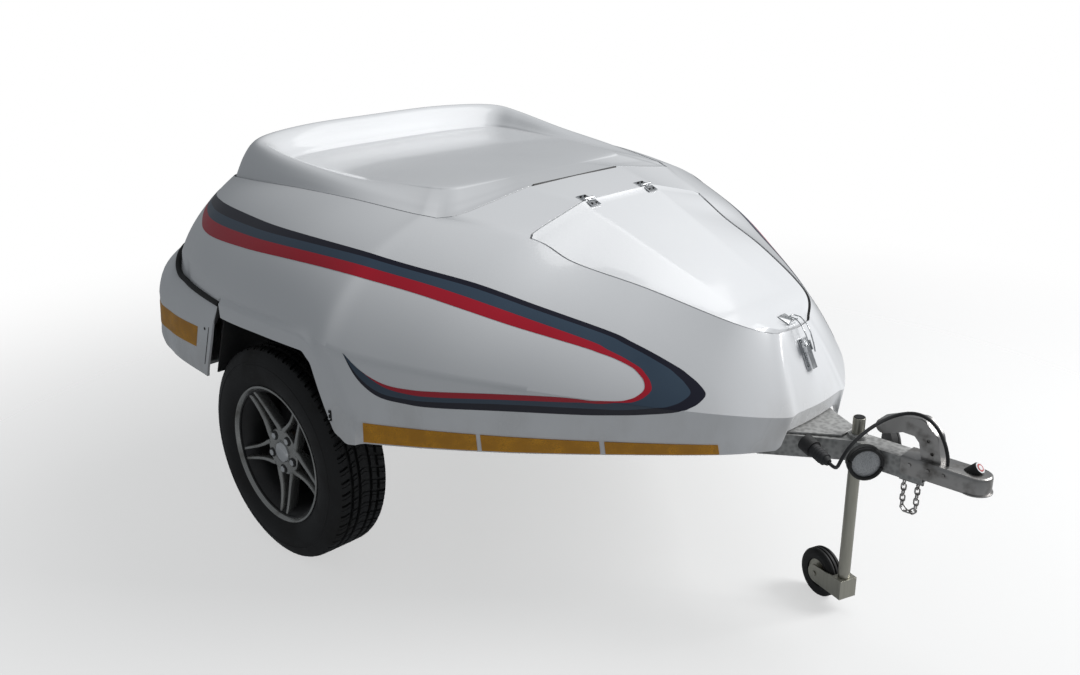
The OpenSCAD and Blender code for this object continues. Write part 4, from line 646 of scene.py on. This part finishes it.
stations = np.arange(LAST * FINE + 1) / FINE
bridge_stops = [0, 0.5, 1, 1.5, 2, 2.5, 2.9, 3, 3.1, 3.5, 4]
bridge_rows = bridge_stops + [8 - r for r in bridge_stops[-2::-1]]
rim_half = [wall_at(u, 6) for u in stations]
MAIN, NOSE = 7 * FINE, 8 * FINE
main_loop = np.array(rim_half[:MAIN + 1] + [bridge_at(r, 0) for r in bridge_rows[1:-1]]
                     + [p * MIRROR for p in rim_half[MAIN:0:-1]])
nose_loop = np.array(rim_half[NOSE:] + [p * MIRROR for p in rim_half[-2:NOSE - 1:-1]]
                     + [bridge_at(r, 1) for r in bridge_rows[-2:0:-1]])


def opening(loop):
    """The rings of the gutter round one opening, from its upper edge to the underside of its ledge."""
    ledge = down(inset(loop, LEDGE), GUTTER)
    return [loop, down(loop, GUTTER), ledge, down(ledge, SKIN)]


main_rings, nose_rings = opening(main_loop), opening(nose_loop)
levels = np.concatenate((np.linspace(0, 1, 14), np.linspace(1, 6, 31)[1:]))
outer_rings = [both_halves([wall_at(u, v) for u in stations]) for v in levels]
inner_rings = [down(inset(ring, SKIN), SKIN if v > 1 else 0) for v, ring in zip(levels[:-1], outer_rings)]
half_under = list(main_rings[3][:MAIN + 1])
half_under += list(down(inset(outer_rings[-1], SKIN), GUTTER + SKIN)[MAIN + 1:NOSE])
half_under += list(nose_rings[3][:len(stations) - NOSE])
wall_rings = inner_rings[::-1] + outer_rings
points = list(both_halves(half_under)) + [p for ring in wall_rings for p in ring]
faces = grid_faces(len(wall_rings) + 1, len(outer_rings[0]), close_cols=True)
for rings in (main_rings, nose_rings):
    faces += grid_faces(len(rings), len(rings[0]), close_cols=True, first=len(points))
    points += [p for ring in rings for p in ring]
for depth in (0, GUTTER + SKIN):
    deck = np.array([[bridge_at(r, t) for t in np.linspace(0, 1, FINE + 1)] for r in bridge_rows])
    deck[:, :, 2] -= depth
    if depth:
        count = len(main_loop)
        deck[:, 0] = [main_rings[3][(MAIN + k) % count] for k in range(len(bridge_rows))]
        count = len(nose_loop)
        deck[:, -1] = [nose_rings[3][(count - k) % count] for k in range(len(bridge_rows))]
        sides = down(inset(outer_rings[-1], SKIN), GUTTER + SKIN)[MAIN + 1:NOSE]
        deck[0, 1:-1] = sides
        deck[-1, 1:-1] = sides * MIRROR
    faces += grid_faces(len(bridge_rows), FINE + 1, first=len(points))
    points += list(deck.reshape(-1, 3))
edged(meshed("body_moulding", points, faces, gelcoat, "trailer", ["body_shell"]), 0.0022)

# Side stripes. Three bands of cast vinyl film, cut to one sweep on each side: dark blue outside, slate
# blue in the middle and crimson inside. They come down from the rear corner, run along the shoulder,
# turn round behind the nose and taper away under the belt.
ALONG, ACROSS, FILM_LIFT = 240, 8, 0.0005
# Rows along the sweep: outer edge (u, v) and inner edge (u, v) on the wall, share of the width at which
# the dark blue ends and share at which the slate blue ends.
sweep = np.array([
    (1.35, 5.95, 1.75, 5.95, 0.31, 0.60), (1.82, 5.39, 2.22, 4.75, 0.31, 0.60),
    (2.46, 4.78, 2.79, 3.42, 0.31, 0.60), (3.18, 4.47, 3.30, 2.80, 0.31, 0.59),
    (4.15, 4.24, 4.15, 2.94, 0.29, 0.58), (5.29, 4.22, 5.19, 3.19, 0.24, 0.56),
    (6.25, 4.19, 6.01, 3.29, 0.20, 0.54), (7.40, 4.11, 7.32, 3.31, 0.19, 0.54),
    (8.10, 4.10, 8.08, 3.22, 0.18, 0.56), (9.02, 4.04, 8.88, 3.10, 0.18, 0.58),
    (9.80, 3.94, 9.60, 3.05, 0.19, 0.66), (10.08, 3.77, 9.79, 3.00, 0.21, 0.73),
    (10.34, 3.52, 9.98, 2.92, 0.23, 0.79), (10.59, 3.16, 10.16, 2.73, 0.25, 0.84),
    (10.70, 2.90, 10.24, 2.53, 0.26, 0.87), (10.81, 2.57, 10.31, 2.24, 0.27, 0.89),
    (10.90, 2.08, 10.34, 1.84, 0.27, 0.89), (10.85, 1.56, 10.30, 1.46, 0.29, 0.88),
    (10.77, 1.20, 10.24, 1.24, 0.31, 0.86), (10.68, 0.98, 10.16, 1.10, 0.34, 0.84),
    (10.37, 0.83, 9.97, 0.99, 0.37, 0.82), (10.06, 0.75, 9.75, 0.98, 0.40, 0.78),
    (9.71, 0.70, 9.53, 0.96, 0.41, 0.72), (8.93, 0.63, 8.87, 0.87, 0.41, 0.68),
    (8.14, 0.56, 8.20, 0.78, 0.36, 0.66), (7.82, 0.56, 7.89, 0.75, 0.32, 0.68),
    (7.52, 0.60, 7.61, 0.76, 0.30, 0.80), (7.27, 0.77, 7.34, 0.86, 0.30, 1.00),
    (7.07, 1.03, 7.07, 1.03, 0.30, 1.00)])


def vinyl(name, dark, light):
    """Film with the fine ripple of the moulding below it and a little road haze."""
    finish, shader, place = new_finish(name)
    haze = place.noise(7, 5)
    feed(shader, {
        "Base Color": haze.tint(dark, light),
        "Roughness": 0.26 + 0.16 * haze,
        "Coat Weight": 0.15,
        "Normal": place.noise(34, 2).relief(0.06, 0.0008),
    })
    return finish


def film_at(u, v, lift):
    """A point just off the wall, along its normal."""
    step = 0.004
    run = wall_at(u + step, v) - wall_at(u - step, v)
    rise = wall_at(u, min(v + step, 6)) - wall_at(u, v - step)
    out = np.cross(run, rise)
    return wall_at(u, v) + lift * out / np.linalg.norm(out)


def sweep_at(s):
    """The row of the sweep at any place along it."""
    i = min(int(s), len(sweep) - 2)
    rows = [sweep[min(max(i + k, 0), len(sweep) - 1)] for k in (-1, 0, 1, 2)]
    return spline(*rows, s - i)


bands = (("navy_film", 0, 4, vinyl("navy_vinyl", (0.003, 0.003, 0.014), (0.005, 0.006, 0.022))),
         ("slate_film", 4, 5, vinyl("slate_vinyl", (0.035, 0.062, 0.100), (0.048, 0.082, 0.125))),
         ("crimson_film", 5, 6, vinyl("crimson_vinyl", (0.440, 0.002, 0.018), (0.540, 0.006, 0.028))))
for name, low, high, finish in bands:
    for side, label in ((1, "right"), (-1, "left")):
        points = []
        for s in np.linspace(0, len(sweep) - 1, ALONG + 1):
            row = sweep_at(s)
            ends = [0 if low == 0 else row[low], 1 if high == 6 else row[high]]
            for t in np.linspace(*np.clip(ends, 0, 1), ACROSS + 1):
                u, v = row[:2] + (row[2:4] - row[:2]) * t
                points.append(film_at(u, min(v, 5.97), FILM_LIFT) * (1, side, 1))
        meshed(f"{name}_{label}", points, grid_faces(ALONG + 1, ACROSS + 1), finish, "trailer")

# Load space. A bare laminate floor on the rails, dark boxes over the wheels, black rubber seals on the
# ledges of the openings, and rubber lips pressed into the seams round both lids.
laminate, shader, place = new_finish("bare_laminate")
weave = place.stretched(1, 1, 0).cells(160)
feed(shader, {
    "Base Color": (0.5 * weave + 0.5 * place.noise(6)).tint((0.42, 0.43, 0.42), (0.62, 0.63, 0.61)),
    "Roughness": 0.6,
    "Normal": weave.relief(0.3, 0.0008),
})
liner, shader, place = new_finish("wheel_box_liner")
dust = place.noise(8, 5).between(0.4, 0.8)
feed(shader, {
    "Base Color": dust.tint((0.022, 0.022, 0.023), (0.075, 0.070, 0.062)),
    "Roughness": 0.7,
    "Normal": place.noise(180).relief(0.35, 0.001),
})
seal_rubber, shader, place = new_finish("seal_rubber")
feed(shader, {
    "Base Color": place.noise(30).tint((0.008, 0.008, 0.008), (0.022, 0.022, 0.022)),
    "Roughness": 0.6 + 0.2 * place.noise(90),
    "Normal": place.noise(500).relief(0.2, 0.0005),
})
eased("floor_pan", laminate, 0.001)
for node in ("wheel_box_left", "wheel_box_right"):
    eased(node, liner, 0.002)
for node in ("main_seal", "nose_seal"):
    eased(node, seal_rubber, 0.001)


def seam_lip(name, loop, columns):
    """A rubber lip that stands in the gap between the edge of an opening and its lid."""
    rails = [down(inset(loop, by), depth)[columns]
             for by, depth in ((0.0008, 0.0030), (0.0046, 0.0030), (0.0046, GUTTER), (0.0008, GUTTER))]
    count = len(columns)
    faces = grid_faces(4, count, close_rows=True)
    faces += [tuple(k * count for k in range(4)), tuple(k * count + count - 1 for k in range(4))]
    meshed(name, [p for rail in rails for p in rail], faces, seal_rubber, "trailer")


seam_lip("main_seam_lip", main_loop, list(range(4 - MAIN, MAIN - 3)))
seam_lip("nose_seam_lip", nose_loop, list(range(4, 2 * (len(stations) - NOSE) - 5)))

# Bumper. A separate white moulding that wraps the rear up to the wheel arches, screwed on at its ends,
# with a fat rubber bead along its rolled upper edge. Red lamps and amber tape are fixed on its face;
# three more amber tapes lie along each skirt.
BUMPER_END = 3.93
STAND, BUMPER_LOW, BUMPER_TOP, REAR_RISE, END_DROP, END_LEAN = 0.060, 0.445, 0.640, 0.066, 0.020, 0.083
# Rows up the section: share of the stand that it goes in, share of the height, how far the skin lies flat
bumper_rows = np.array([
    (0.13, 0.00, 0.0), (0.00, 0.12, 0.0), (0.00, 0.24, 0.0), (0.00, 0.34, 0.0), (0.00, 0.60, 0.0),
    (0.00, 0.70, 0.1), (0.17, 0.86, 0.6), (0.55, 0.96, 1.0), (0.88, 1.00, 1.0)])
# How far the bumper stands out at each station, as a share
ledge_rail = np.array([0.696, 0.717, 1.00, 0.80, 0.22])


def bumper_at(u, in_share, in_by, h):
    """A point of the bumper: h is 0 at its lower edge and 1 at its top."""
    last = len(ledge_rail) - 1
    i = min(int(u), last - 1)
    stand = STAND * spline(*(ledge_rail[min(abs(i + k), last)] for k in (-1, 0, 1, 2)), u - i)
    end = (u / BUMPER_END) ** 2
    spot = plan_at(u) + out_at(u) * (stand * (1 - in_share) - in_by)
    low = BUMPER_LOW - END_DROP * end
    top = BUMPER_TOP + REAR_RISE * (1 - eased_step(u, 1.7, 2.7))
    return np.array((spot[0] - END_LEAN * (1 - h) * end, spot[1], low + (top - low) * h))


def fine_rows(table, per_row):
    """A table's rows with a smooth curve through them."""
    last = len(table) - 1
    rows = []
    for s in np.linspace(0, last, last * per_row + 1):
        i = min(int(s), last - 1)
        rows.append(spline(*(table[min(max(i + k, 0), last)] for k in (-1, 0, 1, 2)), s - i))
    return np.array(rows)


def slab(name, front, back, finish, body, nodes=(), smooth=32):
    """A closed slab between two grids of points."""
    front, back = np.asarray(front), np.asarray(back)
    rows, cols = front.shape[:2]
    size = rows * cols
    rim = list(range(cols)) + [i * cols + cols - 1 for i in range(1, rows)]
    rim += [(rows - 1) * cols + j for j in range(cols - 2, -1, -1)] + [i * cols for i in range(rows - 2, 0, -1)]
    faces = grid_faces(rows, cols) + grid_faces(rows, cols, first=size)
    faces += [(a, b, size + b, size + a) for a, b in zip(rim, rim[1:] + rim[:1])]
    points = list(front.reshape(-1, 3)) + list(back.reshape(-1, 3))
    return meshed(name, points, faces, finish, body, nodes, smooth)


def bumper_skin(by):
    """The bumper's face, moved in by a thickness."""
    skin = []
    for u in np.linspace(-BUMPER_END, BUMPER_END, 121):
        row = []
        for in_share, h, flat in fine_rows(bumper_rows, 4):
            spot = bumper_at(abs(u), in_share, by * (1 - flat), h) - (0, 0, by * flat)
            row.append(spot * (1, -1 if u < 0 else 1, 1))
        skin.append(row)
    return skin


edged(slab("bumper_moulding", bumper_skin(0), bumper_skin(SKIN), gelcoat, "trailer", ["rear_bumper"]),
      0.002)


def bead(name, line, radius, finish, body, nodes=(), closed=False, sides=10):
    """A round bead along a line of points; a list of radii makes it taper."""
    line = np.asarray(line)
    run = np.gradient(line, axis=0)
    if closed:
        run = np.roll(line, -1, 0) - np.roll(line, 1, 0)
    run /= np.linalg.norm(run, axis=1)[:, None]
    flat = np.cross(run, (0, 0, 1))
    weak = np.linalg.norm(flat, axis=1) < 0.15
    flat[weak] = np.cross(run[weak], (1, 0, 0))
    flat /= np.linalg.norm(flat, axis=1)[:, None]
    tall = np.cross(flat, run)
    width = np.broadcast_to(radius, len(line))
    points = [p + w * (cos(a) * f + sin(a) * t) for p, w, f, t in zip(line, width, flat, tall)
              for a in np.arange(sides) * tau / sides]
    faces = grid_faces(len(line), sides, close_rows=closed, close_cols=True)
    if not closed:
        faces += [tuple(range(sides)), tuple(range((len(line) - 1) * sides, len(line) * sides))]
    return meshed(name, points, faces, finish, body, nodes)


half = [bumper_at(u, 0.92, 0, 1) + (0, 0, 0.001) for u in np.linspace(0, BUMPER_END, 61)]
bead("bumper_bead", [p * MIRROR for p in half[:0:-1]] + half, 0.0078, seal_rubber, "trailer",
     ["bumper_seal"])
for side, label in ((1, "right"), (-1, "left")):
    drop = [bumper_at(BUMPER_END, 0.92 - 0.7 * t, 0, 1 - 0.24 * t) + (0.007, 0, 0) for t in np.linspace(0, 1, 9)]
    bead("bumper_end_bead_" + label, np.array(drop) * (1, side, 1), np.linspace(0.0085, 0.003, 9), seal_rubber,
         "trailer")
    fold = np.array([bumper_at(3.86, 0, -0.0002, h) for h in np.linspace(0.16, 0.68, 16)]) * (1, side, 1)
    bead("bumper_end_fold_" + label, fold, 0.0011, seal_rubber, "trailer")
    spot, out = bumper_at(3.78, 0, 0, 0.64), out_at(3.78)
    bead("bumper_screw_" + label, np.array([spot, spot + 0.0014 * out]) * (1, side, 1), 0.0038, seal_rubber,
         "trailer")
    spots = np.array([wall_at(6.80, v) for v in np.linspace(0.06, 0.20, 5)])
    bead("arch_slot_" + label, spots * (1, side, 1), 0.0042, seal_rubber, "trailer")
    for k in (1, 3):
        screw = np.array([spots[k], spots[k] + 0.0056 * out_at(6.80)]) * (1, side, 1)
        bead(f"arch_screw_{label}_{k}", screw, 0.0024, chrome, "trailer")

red_lens, shader, place = new_finish("red_lens")
prism = place.stretched(0.3, 0.3, 1).cells(420)
feed(shader, {
    "Base Color": prism.between(0.1, 0.6).tint((0.32, 0.004, 0.004), (0.55, 0.02, 0.015)),
    "Roughness": 0.12 + 0.1 * place.noise(50),
    "Coat Weight": 0.7,
    "Normal": prism.relief(0.5, 0.0012),
})
amber_tape, shader, place = new_finish("amber_tape")
comb = place.cells(230, "DISTANCE_TO_EDGE")
lines = comb.between(0.02, 0.09)
feed(shader, {
    "Base Color": (1 - place.noise(24, 4).between(0.35, 0.7)).over(
        lines.tint((0.46, 0.19, 0.002), (0.80, 0.36, 0.003)), (0.56, 0.24, 0.002)),
    "Roughness": 0.42 + 0.2 * place.noise(60),
    "Coat Weight": 0.08,
    "Normal": lines.relief(0.25, 0.0006),
})
eased("tail_lamps", red_lens, 0.002)
eased("side_reflectors", amber_tape, 0.0005)


def tape_at(u, z, proud):
    """A point of the tape on the bumper's face."""
    low, high = bumper_at(u, 0, 0, 0)[2], bumper_at(u, 0, 0, 1)[2]
    return bumper_at(u, 0, -proud, (z - low) / (high - low))


for side, label in ((1, "right"), (-1, "left")):
    front, back = ([[tape_at(u, z, proud) * (1, side, 1) for z in np.linspace(0.5000, 0.5595, 7)]
                    for u in np.linspace(2.10, 3.64, 49)] for proud in (0.0010, -0.0010))
    slab("bumper_tape_" + label, front, back, amber_tape, "trailer",
         ["bumper_reflectors"] if side > 0 else ())

# Lids. Two white mouldings that follow their openings, each with a flange that bears on the seal. The
# main lid has a raised lip round a sunk flat tray; the nose lid is creased along both sides.
TRAY_Z, LIP_RISE = BODY_LOW + BODY_TALL * 1.054, 0.100
# Rows of the main lid from its edge inwards: way to the middle, blend to the tray's height, share of the lip
lid_table = np.array([
    (0.000, 0.00, 0.00), (0.035, 0.12, 0.55), (0.075, 0.30, 0.92), (0.115, 0.45, 1.00),
    (0.165, 0.65, 0.72), (0.225, 0.85, 0.22), (0.290, 1.00, 0.00), (0.640, 1.00, 0.00)])
front_x, rear_x = bridge_at(4, 0)[0], wall_at(0, 6)[0]
middle = np.array(((front_x + rear_x) / 2, 0, TRAY_Z))


def lid_ring(edge, row):
    """A ring of the main lid from the edge of its opening and a row of the table."""
    way, blend, rise = row
    lip = LIP_RISE * np.maximum(0, (front_x - edge[:, 0]) / (front_x - rear_x)) ** 2
    return np.column_stack((edge[:, 0] + (middle[0] - edge[:, 0]) * way, edge[:, 1] * (1 - way),
                            edge[:, 2] + (TRAY_Z - edge[:, 2]) * blend + lip * rise))


outside, inside = inset(main_loop, LID_GAP), inset(main_loop, LID_GAP + LID_T)
lid_rows = fine_rows(lid_table, 6)
rings = [down(lid_ring(inside, row), LID_T) for row in lid_rows[::-1]]
rings += [down(inside, FLANGE), down(outside, FLANGE)] + [lid_ring(outside, row) for row in lid_rows]
points = [p for ring in rings for p in ring] + [middle - (0, 0, LID_T), middle]
count, size = len(main_loop), len(rings) * len(main_loop)
faces = grid_faces(len(rings), count, close_cols=True)
faces += [(k, (k + 1) % count, size) for k in range(count)]
faces += [(size - count + k, size - count + (k + 1) % count, size + 1) for k in range(count)]
edged(meshed("main_lid_moulding", points, faces, gelcoat, "main_lid", ["main_lid"]), 0.0015)

crease_rear, nose_tip, nose_front = bridge_at(3, 1), wall_at(LAST, 6), wall_at(LAST - 2, 6)


def nose_row(edge):
    """One row of the nose lid across both creases, from a point of its right edge."""
    share = (edge[0] - crease_rear[0]) / (nose_tip[0] - crease_rear[0])
    y = -crease_rear[1] + (crease_rear[1] - nose_front[1]) * share
    z = max(edge[2], crease_rear[2] + (nose_tip[2] - crease_rear[2]) * share)
    crease = np.array((edge[0], -min(y, -0.85 * edge[1]), z))
    half = []
    for r in bridge_stops:
        if r <= 3:
            half.append(edge + (crease - edge) * np.interp(r, (0, 1, 2, 3), (0, 0.09, 0.24, 1)))
        else:
            half.append(crease * (1, 4 - r, 1))
    return half + [p * MIRROR for p in half[-2::-1]]


def nose_skin(loop):
    """The rows of the nose lid from its hinges to its tip, within a loop."""
    rear = [loop[0]] + [loop[len(loop) - k] for k in range(1, len(bridge_rows) - 1)] + [loop[0] * MIRROR]
    tip = loop[len(stations) - 1 - NOSE]
    rows = [nose_row(loop[k]) for k in range(1, len(stations) - 1 - NOSE)]
    return np.array([rear] + rows + [[tip] * len(rear)])


outside, inside = inset(nose_loop, LID_GAP), inset(nose_loop, LID_GAP + LID_T)
top_skin, under_skin = nose_skin(outside), down(nose_skin(inside), LID_T)
rows, cols = top_skin.shape[:2]
points = list(top_skin.reshape(-1, 3)) + list(under_skin.reshape(-1, 3))
faces = grid_faces(rows, cols) + grid_faces(rows, cols, first=rows * cols)
count = len(nose_loop)
edge_top = ([k * cols for k in range(rows)] + [k * cols + cols - 1 for k in range(rows - 2, -1, -1)]
            + list(range(cols - 2, 0, -1)))
low = len(points)
points += list(down(outside, FLANGE)) + list(down(inside, FLANGE))
for k in range(count):
    n = (k + 1) % count
    faces.append((edge_top[k], edge_top[n], low + n, low + k))
    faces.append((low + k, low + n, low + count + n, low + count + k))
    faces.append((low + count + k, low + count + n, rows * cols + edge_top[n], rows * cols + edge_top[k]))
edged(meshed("nose_lid_moulding", points, faces, gelcoat, "nose_lid", ["nose_lid"]), 0.0015)

# Hinges and latch. A long steel hinge in the seam of the main lid, two plated leaf hinges on the nose lid,
# and a plated over-centre latch at its tip, all screwed to the mouldings.
for node in ("main_hinge_fixed", "main_hinge_leaf"):
    eased(node, black_paint, 0)
for node in ("nose_hinge_fixed", "nose_hinge_leaf", "latch_base", "latch_keeper"):
    eased(node, chrome, 0.0005)
leg = np.array([(0.661, -0.010, 0.618), (0.655, -0.010, 0.638), (0.645, -0.010, 0.661), (0.632, -0.010, 0.680),
                (0.616, -0.010, 0.6915), (0.600, -0.009, 0.6925), (0.598, -0.006, 0.6925), (0.598, 0, 0.6925)])
bead("latch_bail", list(leg) + [p * MIRROR for p in leg[-2::-1]], 0.0015, chrome, "trailer")
for y in (-0.120, -0.104, 0.104, 0.120):
    bead(f"hinge_screw_{1000 * y:.0f}", [(0.057, y, 0.9020), (0.0575, y, 0.9096)], 0.0030, black_paint, "trailer")
    bead(f"lid_screw_{1000 * y:.0f}", [(0.0945, y, 0.8900), (0.0960, y, 0.8988)], 0.0030, black_paint, "nose_lid")

# Coupler. One steel pressing with a round nose over the ball socket, slid over the end of the drawbar and
# bolted, zinc plated and marked by grease. On it a pressed channel handle and a button with a red ring.
coupler_zinc, shader, place = new_finish("coupler_zinc")
grease = place.noise(26, 5).between(0.45, 0.75)
feed(shader, {
    "Base Color": grease.tint((0.42, 0.41, 0.40), (0.13, 0.12, 0.11)),
    "Metallic": 0.9,
    "Roughness": 0.30 + 0.18 * grease,
    "Normal": place.noise(210).relief(0.2, 0.0006),
})
for node, edge in (("coupler_body", 0.003), ("coupler_handle", 0.0015), ("safety_chain", 0)):
    eased(node, coupler_zinc, edge)
red_button, shader, place = new_finish("red_button")
feed(shader, {
    "Base Color": place.noise(90).tint((0.30, 0.010, 0.010), (0.46, 0.020, 0.018)),
    "Roughness": 0.3 + 0.2 * place.noise(160),
})
eased("coupler_knob", seal_rubber, 0.001)
tip, lean = np.array((1.06847, 0, 0.46629)), np.array((0.70711, 0, 0.70711))
for name, radius, proud, finish in (("button_face", 0.0122, 0.0008, gelcoat),
                                    ("button_ring", 0.0092, 0.0013, red_button),
                                    ("button_eye", 0.0055, 0.0018, gelcoat)):
    bead(name, [tip, tip + proud * lean], radius, finish, "trailer", sides=24)
for k, x in enumerate((0.930, 0.972, 1.006)):
    for side, label in ((-1, "right"), (1, "left")):
        bead(f"coupler_bolt_{label}_{k}", [(x, 0.026 * side, 0.437), (x, 0.0350 * side, 0.437)], 0.0052,
             coupler_zinc, "trailer", sides=6)

# Jockey wheel. A bright zinc tube in a sleeve through the drawbar, a folded steel fork that swivels under
# it and a solid rubber wheel on a plain pin.
bright_zinc, shader, place = new_finish("bright_zinc")
brushed = place.stretched(1, 1, 0.08).noise(220, 4)
feed(shader, {
    "Base Color": brushed.tint((0.33, 0.32, 0.27), (0.50, 0.49, 0.43)),
    "Metallic": 0.9,
    "Roughness": 0.24 + 0.22 * brushed,
    "Normal": brushed.relief(0.06, 0.0003),
})
for node in ("jockey_tube", "jockey_fork", "jockey_hub"):
    eased(node, bright_zinc, 0.001)
eased("jockey_tyre", tyre_rubber, 0.0008)
bead("jockey_tube_plug", [(0.790, 0, 0.4900), (0.790, 0, 0.4984)], 0.0122, tyre_rubber, "jockey_mast",
     sides=24)

# Front reflectors and plug holder. Clear prismatic lenses in black plastic rims on short stems, and a
# black plastic sleeve on the right arm in which the plug is parked.
black_plastic, shader, place = new_finish("black_plastic")
feed(shader, {
    "Base Color": place.noise(40).tint((0.012, 0.012, 0.012), (0.028, 0.028, 0.028)),
    "Roughness": 0.45 + 0.2 * place.noise(120),
    "Normal": place.noise(800).relief(0.25, 0.0005),
})
clear_lens, shader, place = new_finish("clear_lens")
prism = place.cells(300, "DISTANCE_TO_EDGE").between(0.02, 0.12)
feed(shader, {
    "Base Color": (0.6 * prism + 0.4 * place.noise(36)).tint((0.26, 0.27, 0.28), (0.66, 0.67, 0.68)),
    "Roughness": 0.12 + 0.15 * (1 - prism),
    "Coat Weight": 0.6,
    "Normal": prism.relief(0.35, 0.0008),
})
for node in ("reflector_rims", "plug_holder"):
    eased(node, black_plastic, 0.0012)
eased("front_reflectors", clear_lens, 0.0008)
for side, label in ((-1, "right"), (1, "left")):
    middle, ahead, across = (np.array(p) for p in ((0.8461, 0.0621 * side, 0.4238), (0.7071, 0.7071 * side, 0),
                                                   (0.7071, -0.7071 * side, 0)))
    ring = [middle + 0.0032 * ahead + 0.0356 * (cos(a) * across + sin(a) * np.array((0, 0, 1)))
            for a in np.arange(48) * tau / 48]
    bead("reflector_bezel_" + label, ring, 0.0044, black_plastic, "trailer", closed=True)
